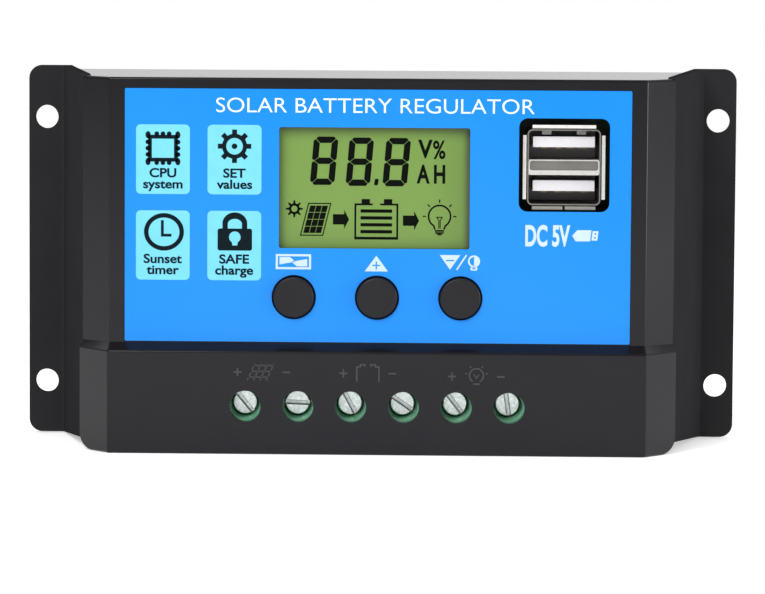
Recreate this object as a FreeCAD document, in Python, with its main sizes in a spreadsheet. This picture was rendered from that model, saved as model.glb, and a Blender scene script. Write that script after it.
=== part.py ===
import FreeCAD, Part
import math
import os
import types

import Sketcher

# Wall-mounted solar charge controller, as an assembly of its separate pieces.
# +X is to the right, +Y points into the wall and +Z is up, all in millimetres.
# The origin is the centre of the four wall holes, on the back face.
# A "depth" is a distance in front of the wall: depth 35 lies at Y = -35.

DOC = FreeCAD.newDocument("charge_controller")
SHEET = DOC.addObject("Spreadsheet::Sheet", "dims")
NODES = []

DRIVING_DIMENSIONS = {
    # Back plate with its ears and side walls
    "plate_width": 133.5,
    "plate_height": 69.6,
    "plate_gauge": 1.5,
    "plate_corner": 2.5,
    "wall_hole_across": 126.8,
    "wall_hole_up": 50.1,
    "wall_hole_radius": 2.2,
    "wall_foot": 60.2,
    "wall_rim": 53.7,
    "wall_gauge": 1.5,
    "rim_depth": 28.0,
    "rim_top": 33.2,
    "rim_low": 33.0,
    "plate_relief": 33.9,
    "foot_fillet": 0.8,
    "countersink_radius": 3.0,
    "cover_hole_radius": 1.6,
    "pillar_hole_radius": 2.05,
    "mosfet_hole_radius": 1.5,
    # Moulded cover
    "cover_back": 1.7,
    "cover_gap": 0.25,
    "cover_top": 34.1,
    "cover_front_top": 32.7,
    "cover_bottom": 35.0,
    "face_depth": 33.0,
    "face_half": 48.2,
    "shoulder_half": 53.6,
    "step_top": 15.0,
    "step_bottom": 16.45,
    "terminal_depth": 35.0,
    "terminal_half": 48.4,
    "terminal_shoulder": 54.2,
    "skin": 2.0,
    "skirt": 1.6,
    "cavity_top": 30.9,
    "edge_round": 0.5,
    "lower_corner": 3.0,
    "skirt_trim_half": 50.5,
    "corner_floor_half": 49.0,
    "corner_floor_rise": 1.8,
    "long_pilot_radius": 1.55,
    "long_pilot_depth": 13.0,
    "short_pilot_radius": 1.05,
    "short_pilot_depth": 5.0,
    "entry_half": 3.4,
    "entry_back": 12.0,
    "entry_front": 18.6,
    # Label and what shows through it
    "label_width": 91.0,
    "label_height": 45.5,
    "label_middle": 7.96,
    "label_recess": 0.4,
    "label_gauge": 0.3,
    "label_corner": 0.25,
    "label_play": 0.3,
    "window_x": -0.58,
    "window_z": 13.02,
    "window_width": 34.3,
    "window_height": 21.75,
    "window_corner": 0.45,
    "usb_x": 33.46,
    "usb_z": 17.38,
    "usb_cut_width": 16.3,
    "usb_cut_height": 16.75,
    "usb_cut_corner": 1.6,
    "button_pitch": 15.0,
    "button_z": -6.69,
    "button_hole_radius": 4.0,
    # Boards and their supports
    "board_depth": 9.8,
    "board_gauge": 1.6,
    "board_width": 104.0,
    "board_low": -32.5,
    "board_high": 30.4,
    "boss_x": 46.0,
    "boss_z": 28.0,
    "boss_radius": 3.3,
    "pillar_x": 47.0,
    "pillar_z": 15.0,
    "board_screw_hole": 1.65,
    "leg_slot_half": 2.7,
    "leg_slot_low": 21.7,
    "leg_slot_high": 20.3,
    "display_screw_hole": 1.2,
    "display_depth": 22.0,
    "display_gauge": 1.2,
    "display_left": -26.0,
    "display_right": 25.1,
    "display_low": -14.0,
    "display_high": 27.4,
    "display_boss_left": -23.4,
    "display_boss_right": 22.6,
    "display_boss_low": -11.4,
    "display_boss_high": 24.9,
    "display_boss_radius": 2.3,
    # Display cell
    "cell_width": 38.0,
    "cell_height": 25.4,
    "cell_back": 28.9,
    "cell_front": 30.9,
    "backlight_back": 25.9,
    "lcd_pin_pitch": 2.0,
    "lcd_pin_width": 0.4,
    "lcd_pin_gap": 0.05,
    "header_half": 10.2,
    "header_low": 12.4,
    "header_high": 7.4,
    # Push buttons and tact switches
    "cap_radius": 3.65,
    "cap_front": 33.9,
    "cap_flange_radius": 4.6,
    "cap_flange_front": 30.6,
    "cap_flange_back": 29.4,
    "cap_stem_radius": 2.6,
    "cap_back": 27.6,
    "switch_side": 6.2,
    "switch_front": 26.7,
    "plunger_radius": 1.7,
    "plunger_back": 25.0,
    "plunger_play": 0.1,
    "cap_edge": 0.35,
    # Terminal block, screws and rising clamps
    "pole_pitch": 9.5,
    "screw_z": -26.0,
    "access_shift": 0.15,
    "block_shift": -0.1,
    "access_radius": 2.8,
    "access_z": -26.3,
    "block_half": 28.6,
    "block_low": -32.9,
    "block_high": -17.7,
    "block_front": 32.8,
    "well_radius": 2.45,
    "funnel_radius": 2.95,
    "funnel_back": 29.4,
    "neck_play": 0.15,
    "leg_room_half": 2.6,
    "leg_room_high": 20.4,
    "wire_room_half": 3.1,
    "shoulder_front": 27.3,
    "shoulder_back": 26.1,
    "cage_room_back": 12.0,
    "cage_room_half": 3.8,
    "cage_room_low": -31.4,
    "cage_room_high": -21.9,
    "head_radius": 2.2,
    "head_back": 27.35,
    "head_front": 29.75,
    "slot_width": 0.9,
    "slot_deep": 1.1,
    "thread_radius": 1.5,
    "screw_tip": 19.0,
    "head_edge": 0.2,
    "cage_half": 3.5,
    "cage_length": 7.0,
    "cage_back": 12.1,
    "cage_front": 22.9,
    "cage_wall": 0.6,
    "cage_floor": 1.0,
    "cage_tapped_wall": 2.0,
    "cage_thread_play": 0.05,
    "bar_half": 2.5,
    "bar_back": 17.9,
    "bar_front": 18.9,
    "bar_low": 31.2,
    "bar_high": 20.5,
    "leg_gauge": 1.0,
    "leg_tail": 1.2,
    # Stacked USB-A sockets
    "usb_shell_width": 13.15,
    "usb_shell_height": 13.6,
    "usb_shell_x": 33.43,
    "usb_shell_z": 16.97,
    "usb_shell_back": 11.5,
    "usb_shell_front": 32.1,
    "usb_sheet": 0.3,
    "usb_mouth_height": 5.12,
    "usb_tongue_width": 11.1,
    "usb_tongue_gauge": 1.9,
    "usb_tongue_front": 30.4,
    "usb_tongue_rise": 0.6,
    "usb_lip": 0.8,
    "usb_lip_gauge": 0.35,
    "usb_lip_half": 5.7,
    "usb_lip_split": 0.15,
    "usb_rear_length": 5.0,
    "usb_play": 0.05,
    "contact_half": 0.5,
    "contact_gauge": 0.3,
    # Power transistors on the back plate
    "mosfet_pitch": 20.0,
    "mosfet_half": 5.0,
    "mosfet_screw_z": 9.6,
    "thermal_pad_half": 38.0,
    "thermal_pad_low": 5.0,
    "thermal_pad_high": 13.0,
    "thermal_pad_gauge": 0.3,
    "pad_hole_radius": 1.6,
    "tab_gauge": 1.3,
    "tab_top": 12.2,
    "tab_hole_radius": 1.7,
    "epoxy_top": 5.0,
    "epoxy_low": 4.0,
    "epoxy_gauge": 4.5,
    "mosfet_leg_pitch": 2.54,
    "mosfet_leg_half": 0.4,
    "mosfet_leg_gauge": 0.5,
    "mosfet_leg_rise": 2.2,
    "mosfet_leg_low": 7.0,
    # Fasteners inside the case
    "screw_end": 0.1,
    "shank_radius": 1.45,
    "tab_head_radius": 2.5,
    "tab_head_gauge": 2.0,
    "pillar_radius": 2.9,
    "spigot_radius": 2.0,
    "pillar_bore": 1.5,
    "pillar_bore_back": 3.0,
    "board_head_radius": 2.7,
    "board_head_gauge": 1.9,
    "board_shank_length": 5.0,
    "display_shank_radius": 1.0,
    "display_shank_length": 4.0,
    "display_head_radius": 1.9,
    "display_head_gauge": 1.4,
    "cover_shank_front": 11.0,
    "cover_head_radius": 2.8,
    "cover_head_front": 1.45,
}

POLES = 6
BUTTONS = 3
# How far each terminal screw was left turned, in degrees from a level slot.
SLOT_TURNS = (50, 2, 62, 35, 52, 82)
MOSFETS = 4
LCD_PINS = 16
# The four contacts of a USB-A socket, in millimetres from its middle.
CONTACT_PLACES = (-3.5, -1.0, 1.0, 3.5)
# Extra travel that carries a cut clear of the surface it starts from.
CLEAR = 0.1
SURROUND = 1.0
QUARTER_TURN = math.pi / 2
SMALLEST_CUT = 1e-6
NEARNESS = 1e-3


class Size:
    """A number that remembers its formula over the cells of the sheet."""

    def __init__(self, number, formula):
        self.number = number
        self.formula = formula

    def joined(self, sign, other, number):
        return Size(number, f"({self.formula} {sign} {other.formula})")

    def __add__(self, other):
        other = as_size(other)
        return self.joined("+", other, self.number + other.number)

    def __sub__(self, other):
        other = as_size(other)
        return self.joined("-", other, self.number - other.number)

    def __mul__(self, other):
        other = as_size(other)
        return self.joined("*", other, self.number * other.number)

    def __truediv__(self, other):
        other = as_size(other)
        return self.joined("/", other, self.number / other.number)

    def __neg__(self):
        return as_size(0) - self

    def __radd__(self, other):
        return as_size(other) + self

    def __rsub__(self, other):
        return as_size(other) - self

    def __rmul__(self, other):
        return as_size(other) * self


def as_size(value):
    """Turn a plain number into a Size and leave a Size as it is."""
    if isinstance(value, Size):
        return value
    return Size(value, f"({value})")


def fill_sheet():
    """Write the driving dimensions into the sheet and return them by name."""
    sizes = {}
    for row, (name, value) in enumerate(DRIVING_DIMENSIONS.items(), start=1):
        SHEET.set(f"A{row}", name)
        SHEET.set(f"B{row}", str(value))
        SHEET.setAlias(f"B{row}", name)
        sizes[name] = Size(value, f"dims.{name}")
    DOC.recompute()
    return types.SimpleNamespace(**sizes)


DIM = fill_sheet()


# ---------------------------------------------------------------- Part helpers

def bind(item, **sizes):
    """Bind properties of a document object to formulas over the sheet."""
    for name, size in sizes.items():
        item.setExpression(name, as_size(size).formula)


def move(item, x, depth, z):
    """Bind the position of a document object."""
    item.setExpression("Placement.Base.x", as_size(x).formula)
    item.setExpression("Placement.Base.y", (-as_size(depth)).formula)
    item.setExpression("Placement.Base.z", as_size(z).formula)


def block(name, across, depth, tall):
    """A box between low and high limits in X, in depth and in Z."""
    box = DOC.addObject("Part::Box", name)
    bind(
        box,
        Length=across[1] - across[0],
        Width=depth[1] - depth[0],
        Height=tall[1] - tall[0],
    )
    move(box, across[0], depth[1], tall[0])
    return box


def rod(name, radius, depth, x, z):
    """A round bar along the depth, between its back and its front."""
    bar = DOC.addObject("Part::Cylinder", name)
    bar.Placement.Rotation = FreeCAD.Rotation(FreeCAD.Vector(1, 0, 0), 90)
    bind(bar, Radius=radius, Height=depth[1] - depth[0])
    move(bar, x, depth[0], z)
    return bar


def cone(name, back_radius, front_radius, depth, x, z):
    """A cone frustum along the depth, between its back and its front."""
    bar = DOC.addObject("Part::Cone", name)
    bar.Placement.Rotation = FreeCAD.Rotation(FreeCAD.Vector(1, 0, 0), 90)
    bind(bar, Radius1=back_radius, Radius2=front_radius, Height=depth[1] - depth[0])
    move(bar, x, depth[0], z)
    return bar


def fuse(name, pieces):
    """Join overlapping or touching pieces into one solid."""
    joined = DOC.addObject("Part::MultiFuse", name)
    joined.Shapes = pieces
    joined.Refine = True
    return joined


def group(name, solids):
    """Keep separate solids together as one node."""
    together = DOC.addObject("Part::Compound", name)
    together.Links = solids
    return together


def cut(name, base, tools):
    """Take the tools away from the base."""
    result = DOC.addObject("Part::Cut", name)
    result.Base = base
    result.Tool = tools[0] if len(tools) == 1 else group(name + "_tools", tools)
    return result


def node(name, item):
    """Register a finished piece under the name of its file."""
    item.Label = name
    NODES.append(item)
    return item


# --------------------------------------------------------- PartDesign helpers

def new_body(name):
    """Start a body whose label is the node's name."""
    return node(name, DOC.addObject("PartDesign::Body", name))


def new_sketch(body, name, role, offset=0):
    """A sketch on one of the body's own origin planes, shifted along its normal.

    XZ_Plane looks from the front, so its offset is a depth.
    XY_Plane looks from above, so its offset is a height.
    """
    sketch = body.newObject("Sketcher::SketchObject", name)
    plane = [item for item in body.Origin.OriginFeatures if item.Role == role][0]
    sketch.AttachmentSupport = [(plane, "")]
    sketch.MapMode = "FlatFace"
    sketch.setExpression("AttachmentOffset.Base.z", as_size(offset).formula)
    return sketch


def fix_point(sketch, geometry, point, x, y):
    """Tie a sketch point to the sketch origin by two bound distances."""
    for kind, size in (("DistanceX", as_size(x)), ("DistanceY", as_size(y))):
        index = sketch.addConstraint(
            Sketcher.Constraint(kind, -1, 1, geometry, point, size.number)
        )
        sketch.setExpression(f"Constraints[{index}]", size.formula)


def fix_radius(sketch, geometry, radius):
    """Bind the radius of a circle or an arc."""
    radius = as_size(radius)
    index = sketch.addConstraint(Sketcher.Constraint("Radius", geometry, radius.number))
    sketch.setExpression(f"Constraints[{index}]", radius.formula)


def vector(x, y):
    return FreeCAD.Vector(as_size(x).number, as_size(y).number, 0)


def draw_polygon(sketch, corners):
    """A closed outline of straight lines, with every corner tied down."""
    count = len(corners)
    first = None
    for index in range(count):
        start = corners[index]
        end = corners[(index + 1) % count]
        line = sketch.addGeometry(Part.LineSegment(vector(*start), vector(*end)))
        first = line if first is None else first
        fix_point(sketch, line, 1, *start)
    for index in range(count):
        following = first + (index + 1) % count
        sketch.addConstraint(Sketcher.Constraint("Coincident", first + index, 2, following, 1))


def draw_box(sketch, across, up):
    """A rectangle between low and high limits."""
    draw_polygon(
        sketch,
        [(across[0], up[0]), (across[1], up[0]), (across[1], up[1]), (across[0], up[1])],
    )


def draw_circle(sketch, x, y, radius):
    """A circle with a bound centre and radius."""
    geometry = Part.Circle(vector(x, y), FreeCAD.Vector(0, 0, 1), as_size(radius).number)
    circle = sketch.addGeometry(geometry)
    fix_point(sketch, circle, 3, x, y)
    fix_radius(sketch, circle, radius)


def draw_rounded_box(sketch, x, y, width, height, radius):
    """A rectangle about a centre, with round corners."""
    reach_x = width / 2 - radius
    reach_y = height / 2 - radius
    signs = ((1, 1), (-1, 1), (-1, -1), (1, -1))
    arcs = []
    for index, (side, level) in enumerate(signs):
        centre = (x + side * reach_x, y + level * reach_y)
        circle = Part.Circle(vector(*centre), FreeCAD.Vector(0, 0, 1), radius.number)
        start = index * QUARTER_TURN
        arc = sketch.addGeometry(Part.ArcOfCircle(circle, start, start + QUARTER_TURN))
        fix_point(sketch, arc, 3, *centre)
        fix_radius(sketch, arc, radius)
        arcs.append(arc)
    for index, arc in enumerate(arcs):
        following = arcs[(index + 1) % len(arcs)]
        start = sketch.getPoint(arc, 2)
        end = sketch.getPoint(following, 1)
        line = sketch.addGeometry(Part.LineSegment(start, end))
        sketch.addConstraint(Sketcher.Constraint("Tangent", arc, 2, line, 1))
        sketch.addConstraint(Sketcher.Constraint("Tangent", line, 2, following, 1))


def pad(body, sketch, length):
    """Extrude along the sketch's normal: to the front, or upwards."""
    feature = body.newObject("PartDesign::Pad", sketch.Name + "_pad")
    feature.Profile = sketch
    bind(feature, Length=length)
    DOC.recompute()
    return feature


def pocket(body, sketch, length):
    """Cut against the sketch's normal: to the back, or downwards."""
    before = body.Shape.Volume
    feature = body.newObject("PartDesign::Pocket", sketch.Name + "_pocket")
    feature.Profile = sketch
    bind(feature, Length=length)
    DOC.recompute()
    require_less(body, before, feature)
    return feature


def slice_across(body, sketch):
    """Cut a side profile right through the body, both ways from its middle plane."""
    before = body.Shape.Volume
    feature = body.newObject("PartDesign::Pocket", sketch.Name + "_slice")
    feature.Profile = sketch
    feature.Midplane = True
    bind(feature, Length=DIM.plate_width * 2)
    DOC.recompute()
    require_less(body, before, feature)
    return feature


def require_less(body, before, feature):
    """Stop if a cut took nothing away."""
    if body.Shape.Volume >= before - SMALLEST_CUT:
        raise RuntimeError(feature.Name + " cut nothing")


def round_edges(body, name, radius, wanted):
    """Fillet the edges whose middle points the test accepts."""
    base = body.Tip
    names = []
    for index, edge in enumerate(base.Shape.Edges, start=1):
        middle = edge.valueAt((edge.FirstParameter + edge.LastParameter) / 2)
        if wanted(edge, middle):
            names.append(f"Edge{index}")
    if not names:
        raise RuntimeError(name + " found no edge")
    fillet = body.newObject("PartDesign::Fillet", name)
    fillet.Base = (base, names)
    bind(fillet, Radius=radius)
    DOC.recompute()
    return fillet


def turned_body(name, outline):
    """A body of revolution about the Y axis from (radius, depth) corners."""
    body = new_body(name)
    sketch = new_sketch(body, name + "_outline", "XY_Plane")
    draw_polygon(sketch, [(radius, -as_size(depth)) for radius, depth in outline])
    feature = body.newObject("PartDesign::Revolution", name + "_turn")
    feature.Profile = sketch
    feature.ReferenceAxis = (sketch, ["V_Axis"])
    feature.Angle = 360
    DOC.recompute()
    return body


def near(value, target):
    return abs(value - as_size(target).number) < NEARNESS


def corner_signs():
    """The four (x, z) sign pairs of a symmetric pattern of four."""
    return [(-1, -1), (1, -1), (1, 1), (-1, 1)]


def pole_x(index, shift):
    """The X of one terminal pole, counted from the left."""
    return shift + DIM.pole_pitch * (index - (POLES - 1) / 2)


def button_x(index):
    """The X of one push button, counted from the left."""
    return DIM.button_pitch * (index - (BUTTONS - 1) / 2)


def mosfet_x(index):
    """The X of one power transistor, counted from the left."""
    return DIM.mosfet_pitch * (index - (MOSFETS - 1) / 2)


# ------------------------------------------------------------ Case and covers

def make_heatsink_base():
    """Back plate with ears, and side walls that lean in towards the front."""
    body = new_body("heatsink_base")
    half = DIM.plate_width / 2
    gauge = DIM.plate_gauge
    inner_foot = DIM.wall_foot - DIM.wall_gauge
    inner_rim = DIM.wall_rim - DIM.wall_gauge
    profile = new_sketch(body, "base_profile", "XY_Plane", -DIM.plate_height / 2)
    right = [
        (half, as_size(0)),
        (half, -gauge),
        (DIM.wall_foot, -gauge),
        (DIM.wall_rim, -DIM.rim_depth),
        (inner_rim, -DIM.rim_depth),
        (inner_foot, -gauge),
    ]
    left = [(-x, y) for x, y in reversed(right)]
    draw_polygon(profile, right + left)
    pad(body, profile, DIM.plate_height)

    top = DIM.plate_height / 2
    beyond = -DIM.rim_depth - SURROUND
    for name, end, rim_end in (("upper", top, DIM.rim_top), ("lower", -top, -DIM.rim_low)):
        trim = new_sketch(body, name + "_wall_trim", "YZ_Plane")
        draw_polygon(trim, [(-gauge, end), (beyond, end), (-DIM.rim_depth, rim_end)])
        slice_across(body, trim)
    relief = new_sketch(body, "plate_relief", "XZ_Plane", gauge)
    draw_box(relief, (-inner_foot, inner_foot), (DIM.plate_relief, top + SURROUND))
    pocket(body, relief, gauge)

    holes = new_sketch(body, "base_holes", "XZ_Plane", gauge)
    for side, level in corner_signs():
        x = side * DIM.wall_hole_across / 2
        z = level * DIM.wall_hole_up / 2
        draw_circle(holes, x, z, DIM.wall_hole_radius)
        draw_circle(holes, side * DIM.boss_x, level * DIM.boss_z, DIM.cover_hole_radius)
        draw_circle(holes, side * DIM.pillar_x, level * DIM.pillar_z, DIM.pillar_hole_radius)
    for index in range(MOSFETS):
        draw_circle(holes, mosfet_x(index), DIM.mosfet_screw_z, DIM.mosfet_hole_radius)
    pocket(body, holes, gauge)
    countersink_cover_holes(body)

    def at_ear_corner(edge, middle):
        return near(abs(middle.x), half) and near(abs(middle.z), top) and near(middle.y, -gauge / 2)

    def at_wall_foot(edge, middle):
        return near(abs(middle.x), DIM.wall_foot) and near(middle.y, -gauge) and abs(middle.z) < 1

    round_edges(body, "ear_corners", DIM.plate_corner, at_ear_corner)
    round_edges(body, "foot_fillets", DIM.foot_fillet, at_wall_foot)
    return body


def countersink_cover_holes(body):
    """Countersinks at the back, so that the cover screws lie flush with the wall face."""
    before = body.Shape.Volume
    sinks = new_sketch(body, "countersinks", "XZ_Plane")
    for side, level in corner_signs():
        draw_circle(sinks, side * DIM.boss_x, level * DIM.boss_z, DIM.countersink_radius)
    feature = body.newObject("PartDesign::Pocket", "countersink_pocket")
    feature.Profile = sinks
    feature.Reversed = True
    feature.TaperAngle = -45
    bind(feature, Length=DIM.plate_gauge)
    DOC.recompute()
    require_less(body, before, feature)


def cover_outline(front_depth, front_half, shoulder_half):
    """The cover's outline from above: skirts inside the walls, shoulders and front."""
    lean = (DIM.wall_foot - DIM.wall_rim) / (DIM.rim_depth - DIM.plate_gauge)
    skirt_front = DIM.wall_rim - DIM.wall_gauge - DIM.cover_gap
    skirt_back = skirt_front + lean * (DIM.rim_depth - DIM.cover_back)
    right = [
        (skirt_back, -DIM.cover_back),
        (skirt_front, -DIM.rim_depth),
        (shoulder_half, -DIM.rim_depth),
        (front_half, -front_depth),
    ]
    left = [(-x, y) for x, y in reversed(right)]
    return right + left


def cavity_outline(front_depth, front_half):
    """The inside of the cover from above, one skirt thickness in from the outline."""
    skirt_back, skirt_front = cover_outline(front_depth, front_half, front_half)[:2]
    right = [
        (skirt_back[0] - DIM.skirt, -DIM.cover_back + SURROUND),
        (skirt_front[0] - DIM.skirt, -DIM.rim_depth + SURROUND),
        (front_half, -front_depth),
    ]
    left = [(-x, y) for x, y in reversed(right)]
    return right + left


def make_front_cover():
    """Moulded cover: upper face, raised terminal section, cavity, bosses and openings."""
    body = new_body("front_cover")
    upper = (DIM.face_depth, DIM.face_half, DIM.shoulder_half)
    lower = (DIM.terminal_depth, DIM.terminal_half, DIM.terminal_shoulder)

    upper_outline = new_sketch(body, "upper_outline", "XY_Plane", -DIM.step_top)
    draw_polygon(upper_outline, cover_outline(*upper))
    pad(body, upper_outline, DIM.cover_top + DIM.step_top)
    lower_outline = new_sketch(body, "lower_outline", "XY_Plane", -DIM.cover_bottom)
    draw_polygon(lower_outline, cover_outline(*lower))
    pad(body, lower_outline, DIM.cover_bottom - DIM.step_bottom)
    step_foot = new_sketch(body, "step_foot", "XY_Plane", -DIM.step_bottom)
    draw_polygon(step_foot, cover_outline(*lower))
    step_head = new_sketch(body, "step_head", "XY_Plane", -DIM.step_top)
    draw_polygon(step_head, cover_outline(*upper))
    step = body.newObject("PartDesign::AdditiveLoft", "step_loft")
    step.Profile = step_foot
    step.Sections = [step_head]
    step.Ruled = True
    DOC.recompute()

    draft = new_sketch(body, "top_draft", "YZ_Plane")
    draw_polygon(
        draft,
        [
            (-DIM.cover_back, DIM.cover_top),
            (-DIM.face_depth, DIM.cover_front_top),
            (-DIM.face_depth - SURROUND, DIM.cover_front_top),
            (-DIM.face_depth - SURROUND, DIM.cover_top + SURROUND),
            (-DIM.cover_back, DIM.cover_top + SURROUND),
        ],
    )
    slice_across(body, draft)
    round_cover_edges(body)

    hollow_cover(body)
    trim_lower_skirts(body)
    add_cover_bosses(body)
    cut_cover_openings(body)
    return body


def round_cover_edges(body):
    """Small rounds on the outer edges, then the wide rounds of the two lower corners."""

    shortest = 2.0

    def on_outer_edge(edge, middle):
        in_front = edge.Length > shortest and middle.y < -DIM.rim_depth.number - CLEAR
        return in_front and not near(middle.z, -DIM.step_top)

    round_edges(body, "outer_edges", DIM.edge_round, on_outer_edge)
    corners = new_sketch(body, "corner_waste", "XZ_Plane", DIM.terminal_depth + SURROUND)
    for side in (-1, 1):
        draw_corner_waste(corners, side)
    pocket(body, corners, DIM.terminal_depth + SURROUND - DIM.rim_depth)


def draw_corner_waste(sketch, side):
    """What lies outside a quarter circle at a lower corner of the terminal section."""
    radius = DIM.lower_corner
    outer = DIM.terminal_shoulder
    bottom = -DIM.cover_bottom
    centre = (side * (outer - radius), bottom + radius)
    corners = [
        (side * outer, bottom + radius),
        (side * (outer + SURROUND), bottom + radius),
        (side * (outer + SURROUND), bottom - SURROUND),
        (side * (outer - radius), bottom - SURROUND),
        (side * (outer - radius), bottom),
    ]
    lines = []
    for start, end in zip(corners[:-1], corners[1:]):
        line = sketch.addGeometry(Part.LineSegment(vector(*start), vector(*end)))
        fix_point(sketch, line, 1, *start)
        if lines:
            sketch.addConstraint(Sketcher.Constraint("Coincident", lines[-1], 2, line, 1))
        lines.append(line)
    fix_point(sketch, lines[-1], 2, *corners[-1])
    start = QUARTER_TURN * (3 if side > 0 else 2)
    circle = Part.Circle(vector(*centre), FreeCAD.Vector(0, 0, 1), radius.number)
    arc = sketch.addGeometry(Part.ArcOfCircle(circle, start, start + QUARTER_TURN))
    level_end = 2 if side > 0 else 1
    sketch.addConstraint(Sketcher.Constraint("Coincident", arc, level_end, lines[0], 1))
    sketch.addConstraint(Sketcher.Constraint("Coincident", arc, 3 - level_end, lines[-1], 2))
    fix_radius(sketch, arc, radius)


def hollow_cover(body):
    """The cavity behind the face, and its deeper part behind the terminal section."""
    main = new_sketch(body, "main_cavity", "XY_Plane", DIM.cavity_top)
    inner_depth = DIM.face_depth - DIM.skin
    draw_polygon(main, cavity_outline(inner_depth, DIM.face_half - DIM.skin * 0.6))
    height = DIM.cavity_top + DIM.cover_bottom - DIM.skin
    pocket(body, main, height)
    ceiling = DIM.block_high + 2 * CLEAR
    deeper = new_sketch(body, "terminal_cavity", "XY_Plane", ceiling)
    reach = DIM.block_half + 5 * CLEAR
    depths = (-DIM.terminal_depth + DIM.skin, -inner_depth + SURROUND)
    draw_box(deeper, (-reach, reach), depths)
    pocket(body, deeper, ceiling + DIM.cover_bottom - DIM.skin)


def trim_lower_skirts(body):
    """Floors in the two lower corners, then skirts cut back along the lower ends of the walls."""
    skirt_back, skirt_front = cover_outline(DIM.face_depth, DIM.face_half, DIM.face_half)[:2]
    overlap = DIM.skirt / 2
    for name, side in (("left", -1), ("right", 1)):
        floor = new_sketch(body, name + "_floor", "XY_Plane", -DIM.cover_bottom + DIM.skin / 2)
        draw_polygon(
            floor,
            [
                (side * DIM.corner_floor_half, skirt_back[1]),
                (side * (skirt_back[0] - overlap), skirt_back[1]),
                (side * (skirt_front[0] - overlap), skirt_front[1]),
                (side * DIM.corner_floor_half, skirt_front[1]),
            ],
        )
        pad(body, floor, DIM.skin / 2 + DIM.corner_floor_rise)
    length = DIM.plate_width / 2 - DIM.skirt_trim_half
    for name, start in (("left", -DIM.skirt_trim_half), ("right", DIM.plate_width / 2)):
        trim = new_sketch(body, name + "_skirt_trim", "YZ_Plane", start)
        draw_polygon(
            trim,
            [
                (-DIM.cover_back + SURROUND, -DIM.cover_bottom - SURROUND),
                (-DIM.rim_depth, -DIM.cover_bottom - SURROUND),
                (-DIM.rim_depth, -DIM.rim_low - 2 * CLEAR),
                (-DIM.cover_back + SURROUND, -DIM.plate_height / 2),
            ],
        )
        pocket(body, trim, length)


def add_cover_bosses(body):
    """Long bosses for the cover screws and short ones for the display board."""
    inner_depth = DIM.face_depth - DIM.skin
    long_bosses = new_sketch(body, "long_bosses", "XZ_Plane", DIM.plate_gauge + CLEAR)
    long_pilots = new_sketch(body, "long_pilots", "XZ_Plane", DIM.long_pilot_depth)
    for side, level in corner_signs():
        x = side * DIM.boss_x
        z = level * DIM.boss_z
        draw_circle(long_bosses, x, z, DIM.boss_radius)
    pad(body, long_bosses, inner_depth - DIM.plate_gauge)
    for side, level in corner_signs():
        draw_circle(long_pilots, side * DIM.boss_x, level * DIM.boss_z, DIM.long_pilot_radius)
    pocket(body, long_pilots, DIM.long_pilot_depth)

    front_of_board = DIM.display_depth + DIM.display_gauge
    short_bosses = new_sketch(body, "short_bosses", "XZ_Plane", front_of_board)
    for x, z in display_boss_places():
        draw_circle(short_bosses, x, z, DIM.display_boss_radius)
    pad(body, short_bosses, inner_depth - front_of_board + 2 * CLEAR)
    pilot_front = front_of_board + DIM.short_pilot_depth
    short_pilots = new_sketch(body, "short_pilots", "XZ_Plane", pilot_front)
    for x, z in display_boss_places():
        draw_circle(short_pilots, x, z, DIM.short_pilot_radius)
    pocket(body, short_pilots, DIM.short_pilot_depth)


def display_boss_places():
    """Where the display board is screwed to the cover."""
    return [
        (x, z)
        for x in (DIM.display_boss_left, DIM.display_boss_right)
        for z in (DIM.display_boss_low, DIM.display_boss_high)
    ]


def draw_face_openings(sketch):
    """The window, the USB cut-out and the button holes."""
    draw_rounded_box(
        sketch, DIM.window_x, DIM.window_z, DIM.window_width, DIM.window_height, DIM.window_corner
    )
    draw_rounded_box(
        sketch, DIM.usb_x, DIM.usb_z, DIM.usb_cut_width, DIM.usb_cut_height, DIM.usb_cut_corner
    )
    for index in range(BUTTONS):
        draw_circle(sketch, button_x(index), DIM.button_z, DIM.button_hole_radius)


def cut_cover_openings(body):
    """The label recess, the openings in the face, screw access and wire entries."""
    recess = new_sketch(body, "label_recess", "XZ_Plane", DIM.face_depth)
    draw_rounded_box(
        recess,
        as_size(0),
        DIM.label_middle,
        DIM.label_width + DIM.label_play,
        DIM.label_height + DIM.label_play,
        DIM.label_corner,
    )
    pocket(body, recess, DIM.label_recess)

    face = new_sketch(body, "face_openings", "XZ_Plane", DIM.face_depth)
    draw_face_openings(face)
    pocket(body, face, DIM.skin + CLEAR)

    access = new_sketch(body, "screw_access", "XZ_Plane", DIM.terminal_depth)
    for index in range(POLES):
        draw_circle(access, pole_x(index, DIM.access_shift), DIM.access_z, DIM.access_radius)
    pocket(body, access, DIM.skin + CLEAR)

    entries = new_sketch(body, "wire_entries", "XY_Plane", -DIM.cover_bottom + DIM.skin + CLEAR)
    for index in range(POLES):
        x = pole_x(index, DIM.block_shift)
        across = (x - DIM.entry_half, x + DIM.entry_half)
        draw_box(entries, across, (-DIM.entry_front, -DIM.entry_back))
    pocket(body, entries, DIM.skin + 2 * CLEAR)


def make_label_film():
    """Thin printed film in the recess, with the face openings cut through it."""
    body = new_body("label_film")
    back = DIM.face_depth - DIM.label_recess
    outline = new_sketch(body, "label_outline", "XZ_Plane", back)
    draw_rounded_box(
        outline,
        as_size(0),
        DIM.label_middle,
        DIM.label_width,
        DIM.label_height,
        DIM.label_corner,
    )
    draw_face_openings(outline)
    pad(body, outline, DIM.label_gauge)
    return body


# --------------------------------------------------------- Boards and display

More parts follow.
